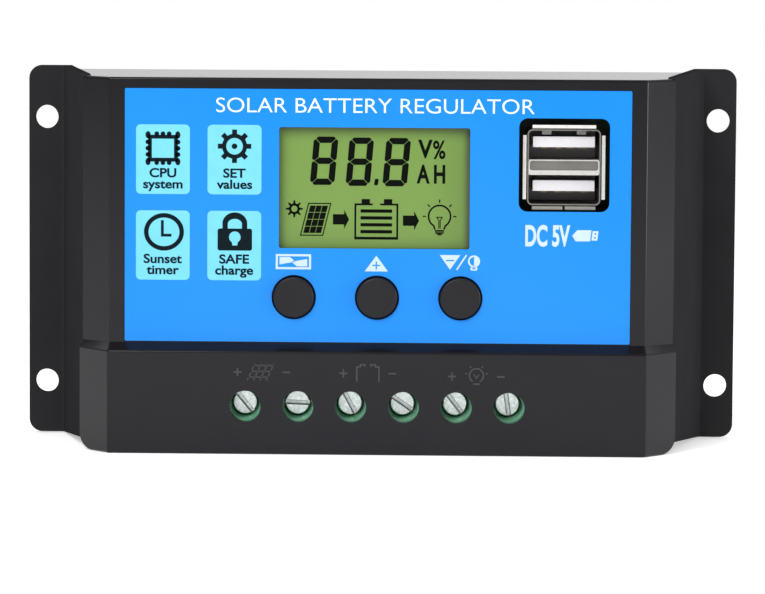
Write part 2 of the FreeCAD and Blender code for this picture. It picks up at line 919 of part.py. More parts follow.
def make_main_board():
    """Power board with clearance for the bosses, pillar screws and terminal legs."""
    body = new_body("main_board")
    outline = new_sketch(body, "board_outline", "XZ_Plane", DIM.board_depth)
    half = DIM.board_width / 2
    draw_box(outline, (-half, half), (DIM.board_low, DIM.board_high))
    pad(body, outline, DIM.board_gauge)
    holes = new_sketch(body, "board_holes", "XZ_Plane", DIM.board_depth + DIM.board_gauge)
    boss_room = DIM.boss_radius + 4 * CLEAR
    for side, level in corner_signs():
        reach = side * (half + SURROUND)
        inner = side * (DIM.boss_x - boss_room)
        top = level * (DIM.boss_z - boss_room)
        far = level * DIM.plate_height / 2
        draw_polygon(holes, [(inner, top), (reach, top), (reach, far), (inner, far)])
        draw_circle(holes, side * DIM.pillar_x, level * DIM.pillar_z, DIM.board_screw_hole)
    for index in range(POLES):
        x = pole_x(index, DIM.block_shift)
        across = (x - DIM.leg_slot_half, x + DIM.leg_slot_half)
        draw_box(holes, across, (-DIM.leg_slot_low, -DIM.leg_slot_high))
    pocket(body, holes, DIM.board_gauge)
    return body


def make_display_board():
    """Small board behind the display and the buttons."""
    body = new_body("display_board")
    outline = new_sketch(body, "display_outline", "XZ_Plane", DIM.display_depth)
    draw_box(outline, (DIM.display_left, DIM.display_right), (DIM.display_low, DIM.display_high))
    for x, z in display_boss_places():
        draw_circle(outline, x, z, DIM.display_screw_hole)
    pad(body, outline, DIM.display_gauge)
    return body


def make_board_header():
    """Connector that stands between the two boards."""
    depth = (DIM.board_depth + DIM.board_gauge, DIM.display_depth)
    across = (-DIM.header_half, DIM.header_half)
    node("board_header", block("header", across, depth, (-DIM.header_low, -DIM.header_high)))


def make_lcd():
    """Display cell, its backlight, and the pin row that joins it to the board."""
    half = DIM.cell_width / 2
    across = (DIM.window_x - half, DIM.window_x + half)
    low = DIM.window_z - DIM.cell_height / 2
    high = DIM.window_z + DIM.cell_height / 2
    node("lcd_glass", block("cell", across, (DIM.cell_back, DIM.cell_front), (low, high)))
    light = (DIM.backlight_back, DIM.cell_back)
    node("lcd_backlight", block("backlight", across, light, (low, high)))
    pins = []
    depth = (DIM.display_depth + DIM.display_gauge, DIM.cell_front - DIM.lcd_pin_width)
    foot = high + DIM.lcd_pin_gap
    for index in range(LCD_PINS):
        x = DIM.window_x + DIM.lcd_pin_pitch * (index - (LCD_PINS - 1) / 2)
        across = (x - DIM.lcd_pin_width / 2, x + DIM.lcd_pin_width / 2)
        pins.append(block(f"lcd_pin_{index}", across, depth, (foot, foot + DIM.lcd_pin_width)))
    node("lcd_pins", group("pin_row", pins))


def make_buttons():
    """Push-button caps, and the tact switches and plungers under them."""
    board_front = DIM.display_depth + DIM.display_gauge
    for index in range(BUTTONS):
        number = index + 1
        x = button_x(index)
        zero = as_size(0)
        cap = turned_body(
            f"button_cap_{number}",
            [
                (zero, DIM.cap_back),
                (DIM.cap_stem_radius, DIM.cap_back),
                (DIM.cap_stem_radius, DIM.cap_flange_back),
                (DIM.cap_flange_radius, DIM.cap_flange_back),
                (DIM.cap_flange_radius, DIM.cap_flange_front),
                (DIM.cap_radius, DIM.cap_flange_front),
                (DIM.cap_radius, DIM.cap_front),
                (zero, DIM.cap_front),
            ],
        )
        round_edges(
            cap,
            f"cap_edge_{number}",
            DIM.cap_edge,
            lambda edge, middle: near(middle.y, -DIM.cap_front) and edge.Length > DIM.cap_radius.number,
        )
        move(cap, x, 0, DIM.button_z)
        half = DIM.switch_side / 2
        case = block(
            f"switch_case_{number}",
            (x - half, x + half),
            (board_front, DIM.switch_front),
            (DIM.button_z - half, DIM.button_z + half),
        )
        bore = rod(
            f"switch_bore_{number}",
            DIM.plunger_radius + DIM.plunger_play,
            (DIM.plunger_back - 5 * CLEAR, DIM.switch_front + SURROUND),
            x,
            DIM.button_z,
        )
        node(f"switch_body_{number}", cut(f"switch_{number}", case, [bore]))
        plunger = rod(
            f"plunger_{number}",
            DIM.plunger_radius,
            (DIM.plunger_back, DIM.cap_back),
            x,
            DIM.button_z,
        )
        node(f"switch_plunger_{number}", plunger)


# ------------------------------------------------------------- Terminal block

def make_terminal_block():
    """Green housing with six funnelled wells, clamp rooms, wire entries and leg channels."""
    body = DOC.addObject("PartDesign::Body", "block_core")
    centre = DIM.block_shift
    outline = new_sketch(body, "block_outline", "XZ_Plane", DIM.board_depth + DIM.board_gauge)
    reach = DIM.block_half
    draw_box(outline, (centre - reach, centre + reach), (DIM.block_low, DIM.block_high))
    pad(body, outline, DIM.block_front - DIM.board_depth - DIM.board_gauge)

    wells = new_sketch(body, "screw_wells", "XZ_Plane", DIM.block_front)
    necks = new_sketch(body, "screw_necks", "XZ_Plane", DIM.shoulder_front)
    rooms = new_sketch(body, "clamp_rooms", "XZ_Plane", DIM.shoulder_back)
    legs = new_sketch(body, "leg_channels", "XZ_Plane", DIM.bar_front + CLEAR)
    entries = new_sketch(body, "block_entries", "XY_Plane", DIM.cage_room_low + CLEAR)
    for index in range(POLES):
        x = pole_x(index, DIM.block_shift)
        draw_circle(wells, x, DIM.screw_z, DIM.well_radius)
        draw_circle(necks, x, DIM.screw_z, DIM.thread_radius + DIM.neck_play)
        room = (x - DIM.cage_room_half, x + DIM.cage_room_half)
        draw_box(rooms, room, (DIM.cage_room_low, DIM.cage_room_high))
        leg_room = (x - DIM.leg_room_half, x + DIM.leg_room_half)
        draw_box(legs, leg_room, (DIM.cage_room_high - CLEAR, -DIM.leg_room_high))
        wire_room = (x - DIM.wire_room_half, x + DIM.wire_room_half)
        draw_box(entries, wire_room, (-DIM.bar_back, -DIM.cage_back - 8 * CLEAR))
    pocket(body, wells, DIM.block_front - DIM.shoulder_front)
    pocket(body, necks, DIM.shoulder_front - DIM.shoulder_back + CLEAR)
    pocket(body, rooms, DIM.shoulder_back - DIM.cage_room_back)
    pocket(body, legs, DIM.bar_front - DIM.board_depth - DIM.board_gauge + 2 * CLEAR)
    pocket(body, entries, DIM.cage_room_low - DIM.block_low + 2 * CLEAR)
    depth = (DIM.funnel_back, DIM.block_front)
    funnels = []
    for index in range(POLES):
        x = pole_x(index, DIM.block_shift)
        name = f"funnel_{index}"
        funnels.append(cone(name, DIM.well_radius, DIM.funnel_radius, depth, x, DIM.screw_z))
    node("terminal_block", cut("block_with_funnels", body, funnels))


def make_terminal_screws():
    """Slotted screws, each left at its own angle."""
    zero = as_size(0)
    for index in range(POLES):
        number = index + 1
        screw = turned_body(
            f"terminal_screw_{number}",
            [
                (zero, DIM.screw_tip),
                (DIM.thread_radius, DIM.screw_tip),
                (DIM.thread_radius, DIM.head_back),
                (DIM.head_radius, DIM.head_back),
                (DIM.head_radius, DIM.head_front),
                (zero, DIM.head_front),
            ],
        )
        round_edges(
            screw,
            f"head_edge_{number}",
            DIM.head_edge,
            lambda edge, middle: near(middle.y, -DIM.head_front) and edge.Length > DIM.head_radius.number,
        )
        slot = new_sketch(screw, f"head_slot_{number}", "XZ_Plane", DIM.head_front + CLEAR)
        half = DIM.slot_width / 2
        reach = DIM.head_radius + CLEAR
        draw_box(slot, (-reach, reach), (-half, half))
        pocket(screw, slot, DIM.slot_deep + CLEAR)
        turn = FreeCAD.Rotation(FreeCAD.Vector(0, 1, 0), SLOT_TURNS[index])
        screw.Placement = FreeCAD.Placement(FreeCAD.Vector(0, 0, 0), turn)
        move(screw, pole_x(index, DIM.block_shift), 0, DIM.screw_z)


def make_clamp_cages():
    """Rising clamps: a loop about the current bar, tapped for the screw."""
    for index in range(POLES):
        number = index + 1
        x = pole_x(index, DIM.block_shift)
        half = DIM.cage_half
        low = DIM.screw_z - DIM.cage_length / 2
        high = DIM.screw_z + DIM.cage_length / 2
        loop = block(
            f"cage_loop_{number}", (x - half, x + half), (DIM.cage_back, DIM.cage_front), (low, high)
        )
        window = block(
            f"cage_window_{number}",
            (x - half + DIM.cage_wall, x + half - DIM.cage_wall),
            (DIM.cage_back + DIM.cage_floor, DIM.cage_front - DIM.cage_tapped_wall),
            (low - SURROUND, high + SURROUND),
        )
        thread = rod(
            f"cage_thread_{number}",
            DIM.thread_radius + DIM.cage_thread_play,
            (DIM.cage_front - DIM.cage_tapped_wall - SURROUND, DIM.cage_front + SURROUND),
            x,
            DIM.screw_z,
        )
        node(f"clamp_cage_{number}", cut(f"cage_{number}", loop, [window, thread]))


def make_terminal_pins():
    """Current bars: a flat tongue through the clamp and a leg down to the board."""
    for index in range(POLES):
        number = index + 1
        x = pole_x(index, DIM.block_shift)
        across = (x - DIM.bar_half, x + DIM.bar_half)
        bar_depth = (DIM.bar_back, DIM.bar_front)
        bar = block(f"bar_{number}", across, bar_depth, (-DIM.bar_low, -DIM.bar_high))
        leg_depth = (DIM.board_depth - DIM.leg_tail, DIM.bar_back)
        leg_low = -DIM.bar_high - DIM.leg_gauge
        leg = block(f"leg_{number}", across, leg_depth, (leg_low, -DIM.bar_high))
        node(f"terminal_pin_{number}", fuse(f"pin_{number}", [bar, leg]))


# ---------------------------------------------------------------- USB sockets

def usb_mouths():
    """The low and high limits in Z of the lower and the upper mouth."""
    half = DIM.usb_shell_height / 2
    low = DIM.usb_shell_z - half + DIM.usb_sheet
    high = DIM.usb_shell_z + half - DIM.usb_sheet
    return [(low, low + DIM.usb_mouth_height), (high - DIM.usb_mouth_height, high)]


def usb_tongues():
    """The low and high limits in Z of the lower and the upper tongue."""
    tongues = []
    for low, high in usb_mouths():
        middle = (low + high) / 2 + DIM.usb_tongue_rise
        half = DIM.usb_tongue_gauge / 2
        tongues.append((middle - half, middle + half))
    return tongues


def make_usb_shell():
    """Folded steel shell with two mouths and flared spring lips."""
    x = DIM.usb_shell_x
    z = DIM.usb_shell_z
    half_width = DIM.usb_shell_width / 2
    half_height = DIM.usb_shell_height / 2
    sheet = DIM.usb_sheet
    case = block(
        "usb_case",
        (x - half_width, x + half_width),
        (DIM.usb_shell_back, DIM.usb_shell_front),
        (z - half_height, z + half_height),
    )
    inner = (x - half_width + sheet, x + half_width - sheet)
    tools = []
    for index, mouth in enumerate(usb_mouths()):
        through = (DIM.usb_shell_back - SURROUND, DIM.usb_shell_front + SURROUND)
        tools.append(block(f"usb_mouth_{index}", inner, through, mouth))
    lower, upper = usb_mouths()
    fold = (lower[1] + sheet, upper[0] - sheet)
    depth = (DIM.usb_shell_back - SURROUND, DIM.usb_shell_front - sheet)
    tools.append(block("usb_fold", inner, depth, fold))
    shell = cut("usb_folded", case, tools)

    lip_depth = (DIM.usb_shell_front - DIM.usb_lip_gauge, DIM.usb_shell_front)
    lip = DIM.usb_lip
    reach = DIM.usb_lip_half
    split = DIM.usb_lip_split
    sides = (z - reach, z + reach)
    lips = [
        block("lip_left", (x - half_width - lip, x - half_width), lip_depth, sides),
        block("lip_right", (x + half_width, x + half_width + lip), lip_depth, sides),
        block("lip_top", (x - reach, x + reach), lip_depth, (z + half_height, z + half_height + lip)),
        block("lip_low_left", (x - reach, x - split), lip_depth, (z - half_height - lip, z - half_height)),
        block("lip_low_right", (x + split, x + reach), lip_depth, (z - half_height - lip, z - half_height)),
    ]
    node("usb_shell", fuse("usb_with_lips", [shell] + lips))


def make_usb_insulator():
    """Rear moulding inside each half of the shell, with a tongue in each mouth."""
    x = DIM.usb_shell_x
    play = DIM.usb_play
    half = DIM.usb_shell_width / 2 - DIM.usb_sheet - play
    rear = DIM.usb_shell_back + DIM.usb_rear_length
    pieces = []
    for index, mouth in enumerate(usb_mouths()):
        back = block(
            f"usb_rear_{index}",
            (x - half, x + half),
            (DIM.usb_shell_back, rear),
            (mouth[0] + play, mouth[1] - play),
        )
        tongue = block(
            f"usb_tongue_{index}",
            (x - DIM.usb_tongue_width / 2, x + DIM.usb_tongue_width / 2),
            (rear, DIM.usb_tongue_front),
            usb_tongues()[index],
        )
        pieces.append(fuse(f"usb_half_{index}", [back, tongue]))
    node("usb_insulator", group("usb_mouldings", pieces))


def make_usb_contacts():
    """Four contact strips under each tongue."""
    strips = []
    depth = (DIM.usb_shell_back + DIM.usb_rear_length, DIM.usb_tongue_front - SURROUND)
    for level, (low, high) in enumerate(usb_tongues()):
        for index, offset in enumerate(CONTACT_PLACES):
            x = DIM.usb_shell_x + offset
            across = (x - DIM.contact_half, x + DIM.contact_half)
            tall = (low - DIM.contact_gauge, low)
            strips.append(block(f"usb_strip_{level}_{index}", across, depth, tall))
    node("usb_contacts", group("usb_strips", strips))


# ----------------------------------------------------- Parts on the main board

def make_board_parts():
    """Capacitors, inductor, diode and chips that stand on the main board.

    Round parts are (radius, height, x, z); square ones are (across, height, tall).
    """
    face = DIM.board_depth + DIM.board_gauge
    cans = {"main_capacitor": (5.0, 16, -40, 4), "usb_capacitor": (4.0, 12, -40, -8)}
    boxes = {
        "buck_inductor": ((33.5, 45.5), 7, (-12, 0)),
        "blocking_diode": ((21, 31), 4.5, (-12, -4)),
        "microcontroller": ((-12, -2), 1.6, (2, 12)),
        "regulator_chip": ((32, 37), 1.6, (2, 6)),
        "shunt_resistor": ((-3.2, 3.2), 0.8, (-16.6, -13.4)),
    }
    for name, (radius, height, x, z) in cans.items():
        node(name, rod(name + "_can", radius, (face, face + height), x, z))
    for name, (across, height, tall) in boxes.items():
        node(name, block(name + "_case", across, (face, face + height), tall))


def make_power_mosfets():
    """Transistors that lie on the back plate, screwed down, with legs to the board."""
    pad_front = DIM.plate_gauge + DIM.thermal_pad_gauge
    across = (-DIM.thermal_pad_half, DIM.thermal_pad_half)
    tall = (-DIM.thermal_pad_low, DIM.thermal_pad_high)
    sheet = block("pad_sheet", across, (DIM.plate_gauge, pad_front), tall)
    through = (DIM.plate_gauge - SURROUND, pad_front + SURROUND)
    holes = [
        rod(f"pad_hole_{index}", DIM.pad_hole_radius, through, mosfet_x(index), DIM.mosfet_screw_z)
        for index in range(MOSFETS)
    ]
    node("thermal_pad", cut("pad_cut", sheet, holes))
    screws = []
    for index in range(MOSFETS):
        make_mosfet(index, pad_front)
        screws.append(make_mosfet_screw(index, pad_front))
    node("mosfet_screws", group("tab_screws", screws))


def make_mosfet(index, back):
    """One transistor: a drilled metal tab, an epoxy case and three bent legs."""
    number = index + 1
    x = mosfet_x(index)
    across = (x - DIM.mosfet_half, x + DIM.mosfet_half)
    tab_low = DIM.epoxy_top - SURROUND
    tab = block(f"tab_{number}", across, (back, back + DIM.tab_gauge), (tab_low, DIM.tab_top))
    case_depth = (back, back + DIM.epoxy_gauge)
    case = block(f"epoxy_{number}", across, case_depth, (-DIM.epoxy_low, DIM.epoxy_top))
    pieces = [tab, case]
    leg_back = back + DIM.mosfet_leg_rise
    low = -DIM.mosfet_leg_low
    for leg in (-1, 0, 1):
        middle = x + leg * DIM.mosfet_leg_pitch
        leg_across = (middle - DIM.mosfet_leg_half, middle + DIM.mosfet_leg_half)
        flat = (leg_back, leg_back + DIM.mosfet_leg_gauge)
        pieces.append(block(f"flat_leg_{number}_{leg + 1}", leg_across, flat, (low, -DIM.epoxy_low)))
        upright = (leg_back, DIM.board_depth)
        tall = (low, low + DIM.mosfet_leg_gauge)
        pieces.append(block(f"up_leg_{number}_{leg + 1}", leg_across, upright, tall))
    whole = fuse(f"mosfet_{number}", pieces)
    through = (back - SURROUND, back + DIM.tab_gauge + SURROUND)
    hole = rod(f"tab_hole_{number}", DIM.tab_hole_radius, through, x, DIM.mosfet_screw_z)
    node(f"power_mosfet_{number}", cut(f"mosfet_cut_{number}", whole, [hole]))


def make_mosfet_screw(index, back):
    """The screw that holds one transistor's tab to the back plate."""
    number = index + 1
    x = mosfet_x(index)
    head_back = back + DIM.tab_gauge
    shank_depth = (DIM.screw_end, head_back)
    shank = rod(f"tab_shank_{number}", DIM.shank_radius, shank_depth, x, DIM.mosfet_screw_z)
    head_depth = (head_back, head_back + DIM.tab_head_gauge)
    head = rod(f"tab_head_{number}", DIM.tab_head_radius, head_depth, x, DIM.mosfet_screw_z)
    return fuse(f"tab_screw_{number}", [shank, head])


# ------------------------------------------------------------------ Fasteners

def make_board_fixings():
    """Clinched pillars under the main board, and the screws in them."""
    pillars = []
    screws = []
    board_front = DIM.board_depth + DIM.board_gauge
    spigot_depth = (DIM.screw_end, DIM.plate_gauge + 5 * CLEAR)
    bore_depth = (DIM.pillar_bore_back, DIM.board_depth + SURROUND)
    shank_depth = (DIM.board_depth - DIM.board_shank_length, board_front + 5 * CLEAR)
    head_depth = (board_front, board_front + DIM.board_head_gauge)
    for index, (side, level) in enumerate(corner_signs()):
        x = side * DIM.pillar_x
        z = level * DIM.pillar_z
        post = rod(f"post_{index}", DIM.pillar_radius, (DIM.plate_gauge, DIM.board_depth), x, z)
        spigot = rod(f"spigot_{index}", DIM.spigot_radius, spigot_depth, x, z)
        whole = fuse(f"pillar_{index}", [post, spigot])
        bore = rod(f"pillar_bore_{index}", DIM.pillar_bore, bore_depth, x, z)
        pillars.append(cut(f"pillar_cut_{index}", whole, [bore]))
        shank = rod(f"board_shank_{index}", DIM.shank_radius, shank_depth, x, z)
        head = rod(f"board_head_{index}", DIM.board_head_radius, head_depth, x, z)
        screws.append(fuse(f"board_screw_{index}", [shank, head]))
    node("board_standoffs", group("pillars", pillars))
    node("board_screws", group("board_screw_set", screws))


def make_display_screws():
    """Small screws from behind the display board into the cover's short bosses."""
    screws = []
    back = DIM.display_depth
    front = back + DIM.display_gauge
    shank_depth = (back - 5 * CLEAR, front + DIM.display_shank_length)
    for index, (x, z) in enumerate(display_boss_places()):
        shank = rod(f"display_shank_{index}", DIM.display_shank_radius, shank_depth, x, z)
        head_depth = (back - DIM.display_head_gauge, back)
        head = rod(f"display_head_{index}", DIM.display_head_radius, head_depth, x, z)
        screws.append(fuse(f"display_screw_{index}", [shank, head]))
    node("display_screws", group("display_screw_set", screws))


def make_cover_screws():
    """Countersunk screws from behind the back plate into the cover's long bosses."""
    screws = []
    shank_depth = (DIM.screw_end, DIM.cover_shank_front)
    head_depth = (DIM.screw_end, DIM.cover_head_front)
    for index, (side, level) in enumerate(corner_signs()):
        x = side * DIM.boss_x
        z = level * DIM.boss_z
        shank = rod(f"cover_shank_{index}", DIM.shank_radius, shank_depth, x, z)
        head = cone(f"cover_head_{index}", DIM.cover_head_radius, DIM.shank_radius, head_depth, x, z)
        screws.append(fuse(f"cover_screw_{index}", [shank, head]))
    node("cover_screws", group("cover_screw_set", screws))


# --------------------------------------------------------------------- Output

def check_document():
    """Stop if any object failed or any node has no valid shape."""
    for item in DOC.Objects:
        if "Invalid" in item.State or "Error" in item.State:
            raise RuntimeError(item.Name + " failed: " + str(item.State))
    for item in NODES:
        if item.Shape.isNull() or not item.Shape.isValid() or not item.Shape.Solids:
            raise RuntimeError(item.Label + " has no valid solid")


def write_parts():
    """Write one STEP file for each node."""
    os.makedirs("parts", exist_ok=True)
    for item in NODES:
        item.Shape.exportStep(f"parts/{item.Label}.step")


make_heatsink_base()
make_front_cover()
make_label_film()
make_main_board()
make_display_board()
make_board_header()
make_lcd()
make_buttons()
make_terminal_block()
make_terminal_screws()
make_clamp_cages()
make_terminal_pins()
make_usb_shell()
make_usb_insulator()
make_usb_contacts()
make_board_parts()
make_power_mosfets()
make_board_fixings()
make_display_screws()
make_cover_screws()
DOC.recompute()
check_document()
write_parts()
print(len(NODES), "nodes written")
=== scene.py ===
from collections import namedtuple
import math

import bmesh
import bpy
from mathutils import Matrix, Vector


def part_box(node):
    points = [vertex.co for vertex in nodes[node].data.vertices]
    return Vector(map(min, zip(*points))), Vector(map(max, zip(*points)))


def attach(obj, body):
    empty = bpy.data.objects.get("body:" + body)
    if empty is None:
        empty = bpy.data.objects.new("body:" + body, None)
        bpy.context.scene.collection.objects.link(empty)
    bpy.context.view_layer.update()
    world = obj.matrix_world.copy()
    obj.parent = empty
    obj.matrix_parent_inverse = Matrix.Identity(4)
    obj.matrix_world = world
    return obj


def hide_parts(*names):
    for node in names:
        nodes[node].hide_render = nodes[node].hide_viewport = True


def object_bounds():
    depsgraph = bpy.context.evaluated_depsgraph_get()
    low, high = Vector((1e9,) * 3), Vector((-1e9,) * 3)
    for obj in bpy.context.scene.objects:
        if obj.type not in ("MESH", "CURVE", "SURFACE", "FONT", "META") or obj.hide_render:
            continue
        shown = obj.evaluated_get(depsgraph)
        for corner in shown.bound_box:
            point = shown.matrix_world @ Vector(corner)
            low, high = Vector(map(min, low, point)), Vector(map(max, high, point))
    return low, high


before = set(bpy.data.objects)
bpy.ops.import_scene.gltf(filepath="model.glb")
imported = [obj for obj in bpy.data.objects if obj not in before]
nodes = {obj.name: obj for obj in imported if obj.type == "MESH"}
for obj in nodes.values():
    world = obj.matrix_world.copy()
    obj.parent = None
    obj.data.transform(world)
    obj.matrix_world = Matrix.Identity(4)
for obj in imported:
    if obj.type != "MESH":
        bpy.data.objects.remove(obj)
cad_low, cad_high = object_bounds()

# Flat shapes are drawn in millimetres as (x, z) points, with depth counted forward from the wall (minus Y).
# CAPITAL_HEIGHT is the height of the built-in font's capitals at size 1.
MM = 0.001
FULL_TURN = 2 * math.pi
POLES = 6
BUTTONS = 3
INK_THICKNESS = 0.03
CAPITAL_HEIGHT = 0.682
ANGLE_TOLERANCE = 0.001
LEAST_MITRE = 0.3
MERGE_DISTANCE = 0.0001
SMOOTH_ANGLE = math.radians(35)
BEVEL_ANGLE = math.radians(28)

# One line of lettering: capitals of one height that stand on baseline, centred on middle. Squeeze scales
# the widths, and weight thickens the strokes.
Lettering = namedtuple("Lettering", "words middle baseline height squeeze weight")


# ---------------------------------------------------------------- where things are, in millimetres
def span(node):
    """A node's lowest and highest x, its lowest and highest z, and its front depth."""
    low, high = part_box(node)
    return low.x / MM, high.x / MM, low.z / MM, high.z / MM, -low.y / MM


# ---------------------------------------------------------------- flat outlines
def ellipse(x, z, radius_x, radius_z=None, start=0.0, end=FULL_TURN, steps=48):
    """Points round an ellipse; a full turn leaves out the repeated last point."""
    radius_z = radius_z or radius_x
    closed = abs(end - start) > FULL_TURN - ANGLE_TOLERANCE
    count = steps if closed else steps + 1
    angles = [start + (end - start) * i / steps for i in range(count)]
    return [(x + radius_x * math.cos(a), z + radius_z * math.sin(a)) for a in angles]


def rectangle(left, bottom, right, top):
    """The four corners of an upright rectangle."""
    return [(left, bottom), (right, bottom), (right, top), (left, top)]


def rounded(left, bottom, right, top, radius):
    """A rectangle with round corners."""
    corners = [(right - radius, top - radius), (left + radius, top - radius),
               (left + radius, bottom + radius), (right - radius, bottom + radius)]
    points = []
    for quarter, (x, z) in enumerate(corners):
        start = quarter * math.pi / 2
        points += ellipse(x, z, radius, start=start, end=start + math.pi / 2, steps=8)
    return points


def line(points, width):
    """The outline of an open line of even width, mitred where it bends."""
    sides = []
    for i, (x, z) in enumerate(points):
        before = Vector(points[i]) - Vector(points[i - 1]) if i else None
        after = Vector(points[i + 1]) - Vector(points[i]) if i + 1 < len(points) else None
        way = ((before or after).normalized() + (after or before).normalized()).normalized()
        across = Vector((-way.y, way.x))
        first = (before or after).normalized()
        reach = width / 2 / max(LEAST_MITRE, abs(across.dot(Vector((-first.y, first.x)))))
        side_x, side_z = across.x * reach, across.y * reach
        sides.append(((x + side_x, z + side_z), (x - side_x, z - side_z)))
    return [left for left, _ in sides] + [right for _, right in reversed(sides)]


def slanted(points, slant, base):
    """Leans an outline to the right by slant for each millimetre above base."""
    return [(x + slant * (z - base), z) for x, z in points]


def moved(points, x, z):
    """An outline drawn round (0, 0), moved to (x, z)."""
    return [(x + px, z + pz) for px, pz in points]


def turned(points, x, z, angle):
    """An outline drawn round (0, 0), turned and moved to (x, z)."""
    c, s = math.cos(angle), math.sin(angle)
    return [(x + px * c - pz * s, z + px * s + pz * c) for px, pz in points]


# ---------------------------------------------------------------- meshes
def finish_mesh(name, made, body, material, smooth=True):
    """Merges doubled points, links the mesh as a piece, and rides it on its body."""
    bmesh.ops.remove_doubles(made, verts=made.verts, dist=MERGE_DISTANCE)
    bmesh.ops.dissolve_degenerate(made, edges=made.edges, dist=MERGE_DISTANCE)
    bmesh.ops.recalc_face_normals(made, faces=made.faces)
    made.transform(Matrix.Scale(MM, 4))
    mesh = bpy.data.meshes.new(name)
    made.to_mesh(mesh)
    made.free()
    piece = bpy.data.objects.new(name, mesh)
    bpy.context.scene.collection.objects.link(piece)
    mesh.materials.append(material)
    if smooth:
        mesh.shade_smooth()
        mesh.set_sharp_from_angle(angle=SMOOTH_ANGLE)
    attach(piece, body)
    return piece


def curve_mesh(curve, depth_back, depth_front):
    """Turns a flat filled curve into a solid between two depths in front of the wall."""
    curve.dimensions = "2D"
    curve.fill_mode = "BOTH"
    curve.extrude = (depth_front - depth_back) / 2
    carrier = bpy.data.objects.new("carrier", curve)
    mesh = bpy.data.meshes.new_from_object(carrier)
    bpy.data.objects.remove(carrier)
    stand_up = Matrix.Rotation(math.pi / 2, 4, "X")
    mesh.transform(Matrix.Translation((0, -(depth_front + depth_back) / 2, 0)) @ stand_up)
    return mesh


def add_turned(made, x, z, profile):
    """Adds a solid turned about a line that runs out from the wall; the profile is (radius, depth) pairs."""
    steps = 40
    rings = []
    for radius, depth in profile:
        rings.append([made.verts.new((px, -depth, pz)) for px, pz in ellipse(x, z, radius, steps=steps)])
    for lower, upper in zip(rings, rings[1:]):
        for i in range(steps):
            j = (i + 1) % steps
            made.faces.new((lower[i], lower[j], upper[j], upper[i]))
    made.faces.new(rings[0])
    made.faces.new(rings[-1][::-1])


def add_shape(made, outlines, depth_back, depth_front):
    """Adds one flat solid: the first outline is its edge and the rest are holes."""
    curve = bpy.data.curves.new("outline", "CURVE")
    for outline in outlines:
        spline = curve.splines.new("POLY")
        spline.points.add(len(outline) - 1)
        for point, (x, z) in zip(spline.points, outline):
            point.co = (x, z, 0, 1)
        spline.use_cyclic_u = True
    mesh = curve_mesh(curve, depth_back, depth_front)
    made.from_mesh(mesh)
    bpy.data.meshes.remove(mesh)


def text_mesh(words, weight, depth_back, depth_front):
    """Lettering at the font's own size, as a solid between two depths."""
    curve = bpy.data.curves.new("words", "FONT")
    curve.body = words
    curve.size = 1.0
    curve.offset = weight
    curve.resolution_u = 6
    return curve_mesh(curve, depth_back, depth_front)


def add_text(made, text, depth_back, depth_front):
    """Adds one line of lettering between two depths."""
    mesh = text_mesh(text.words, text.weight, depth_back, depth_front)
    grow = text.height / CAPITAL_HEIGHT
    xs = [v.co.x for v in mesh.vertices]
    centre = (min(xs) + max(xs)) / 2
    for v in mesh.vertices:
        v.co.x = text.middle + (v.co.x - centre) * grow * text.squeeze
        v.co.z = text.baseline + v.co.z * grow
    made.from_mesh(mesh)
    bpy.data.meshes.remove(mesh)


def print_shapes(name, shapes, texts, depth, material, thickness=INK_THICKNESS):
    """A printed or raised piece made of flat shapes and lettering that stand on a surface at depth."""
    made = bmesh.new()
    for outlines in shapes:
        add_shape(made, outlines, depth, depth + thickness)
    for text in texts:
        add_text(made, text, depth, depth + thickness)
    finish_mesh(name, made, "housing", material, smooth=False)


# ---------------------------------------------------------------- materials
NOISE_LOW = 0.3
NOISE_HIGH = 0.7
GRAIN_DEPTH = 0.2
STREAK_DEPTH = 0.1


def new_material(name, **settings):
    """A material with a Principled shader whose constants are set on its own sockets."""
    material = bpy.data.materials.new(name)
    material.use_nodes = True
    shader = material.node_tree.nodes["Principled BSDF"]
    for socket, value in settings.items():
        shader.inputs[socket.replace("_", " ")].default_value = value
    return material, material.node_tree, shader


def add_node(tree, kind, inputs=None, **settings):
    """Adds a node; an input may be a number, a colour or another node's output."""
    node = tree.nodes.new(kind)
    for setting, value in settings.items():
        setattr(node, setting, value)
    for socket, value in (inputs or {}).items():
        if isinstance(value, bpy.types.NodeSocket):
            tree.links.new(value, node.inputs[socket])
        else:
            node.inputs[socket].default_value = value
    return node


def noise(tree, size_mm, detail=3.0, stretch=(1, 1, 1)):
    """Noise with features of about size_mm; stretch above 1 draws them out along an axis."""
    place = add_node(tree, "ShaderNodeTexCoord")
    scaled = add_node(tree, "ShaderNodeVectorMath", {0: place.outputs["Object"], 1: [1 / s for s in stretch]},
                      operation="MULTIPLY")
    made = add_node(tree, "ShaderNodeTexNoise",
                    {"Vector": scaled.outputs[0], "Scale": 1 / (size_mm * MM), "Detail": detail})
    return made.outputs["Fac"]


def mapped(tree, value, from_low, from_high, to_low, to_high, **settings):
    """Maps a value from one range onto another; the ends may be numbers or outputs."""
    ends = {"From Min": from_low, "From Max": from_high, "To Min": to_low, "To Max": to_high}
    return add_node(tree, "ShaderNodeMapRange", {"Value": value, **ends}, **settings).outputs["Result"]


def spread(tree, value, low, high):
    """Maps the range in which noise mostly stays onto low to high."""
    return mapped(tree, value, NOISE_LOW, NOISE_HIGH, low, high)


def colour_mix(tree, factor):
    """A colour mix node's two colour inputs and its colour output."""
    made = add_node(tree, "ShaderNodeMix", {"Factor": factor}, data_type="RGBA")
    first, second = [socket for socket in made.inputs if socket.type == "RGBA"]
    result = [socket for socket in made.outputs if socket.type == "RGBA"][0]
    return first, second, result


def blend_colours(tree, factor, start, end):
    """Blends two fixed colours."""
    first, second, result = colour_mix(tree, factor)
    first.default_value = (*start, 1)
    second.default_value = (*end, 1)
    return result


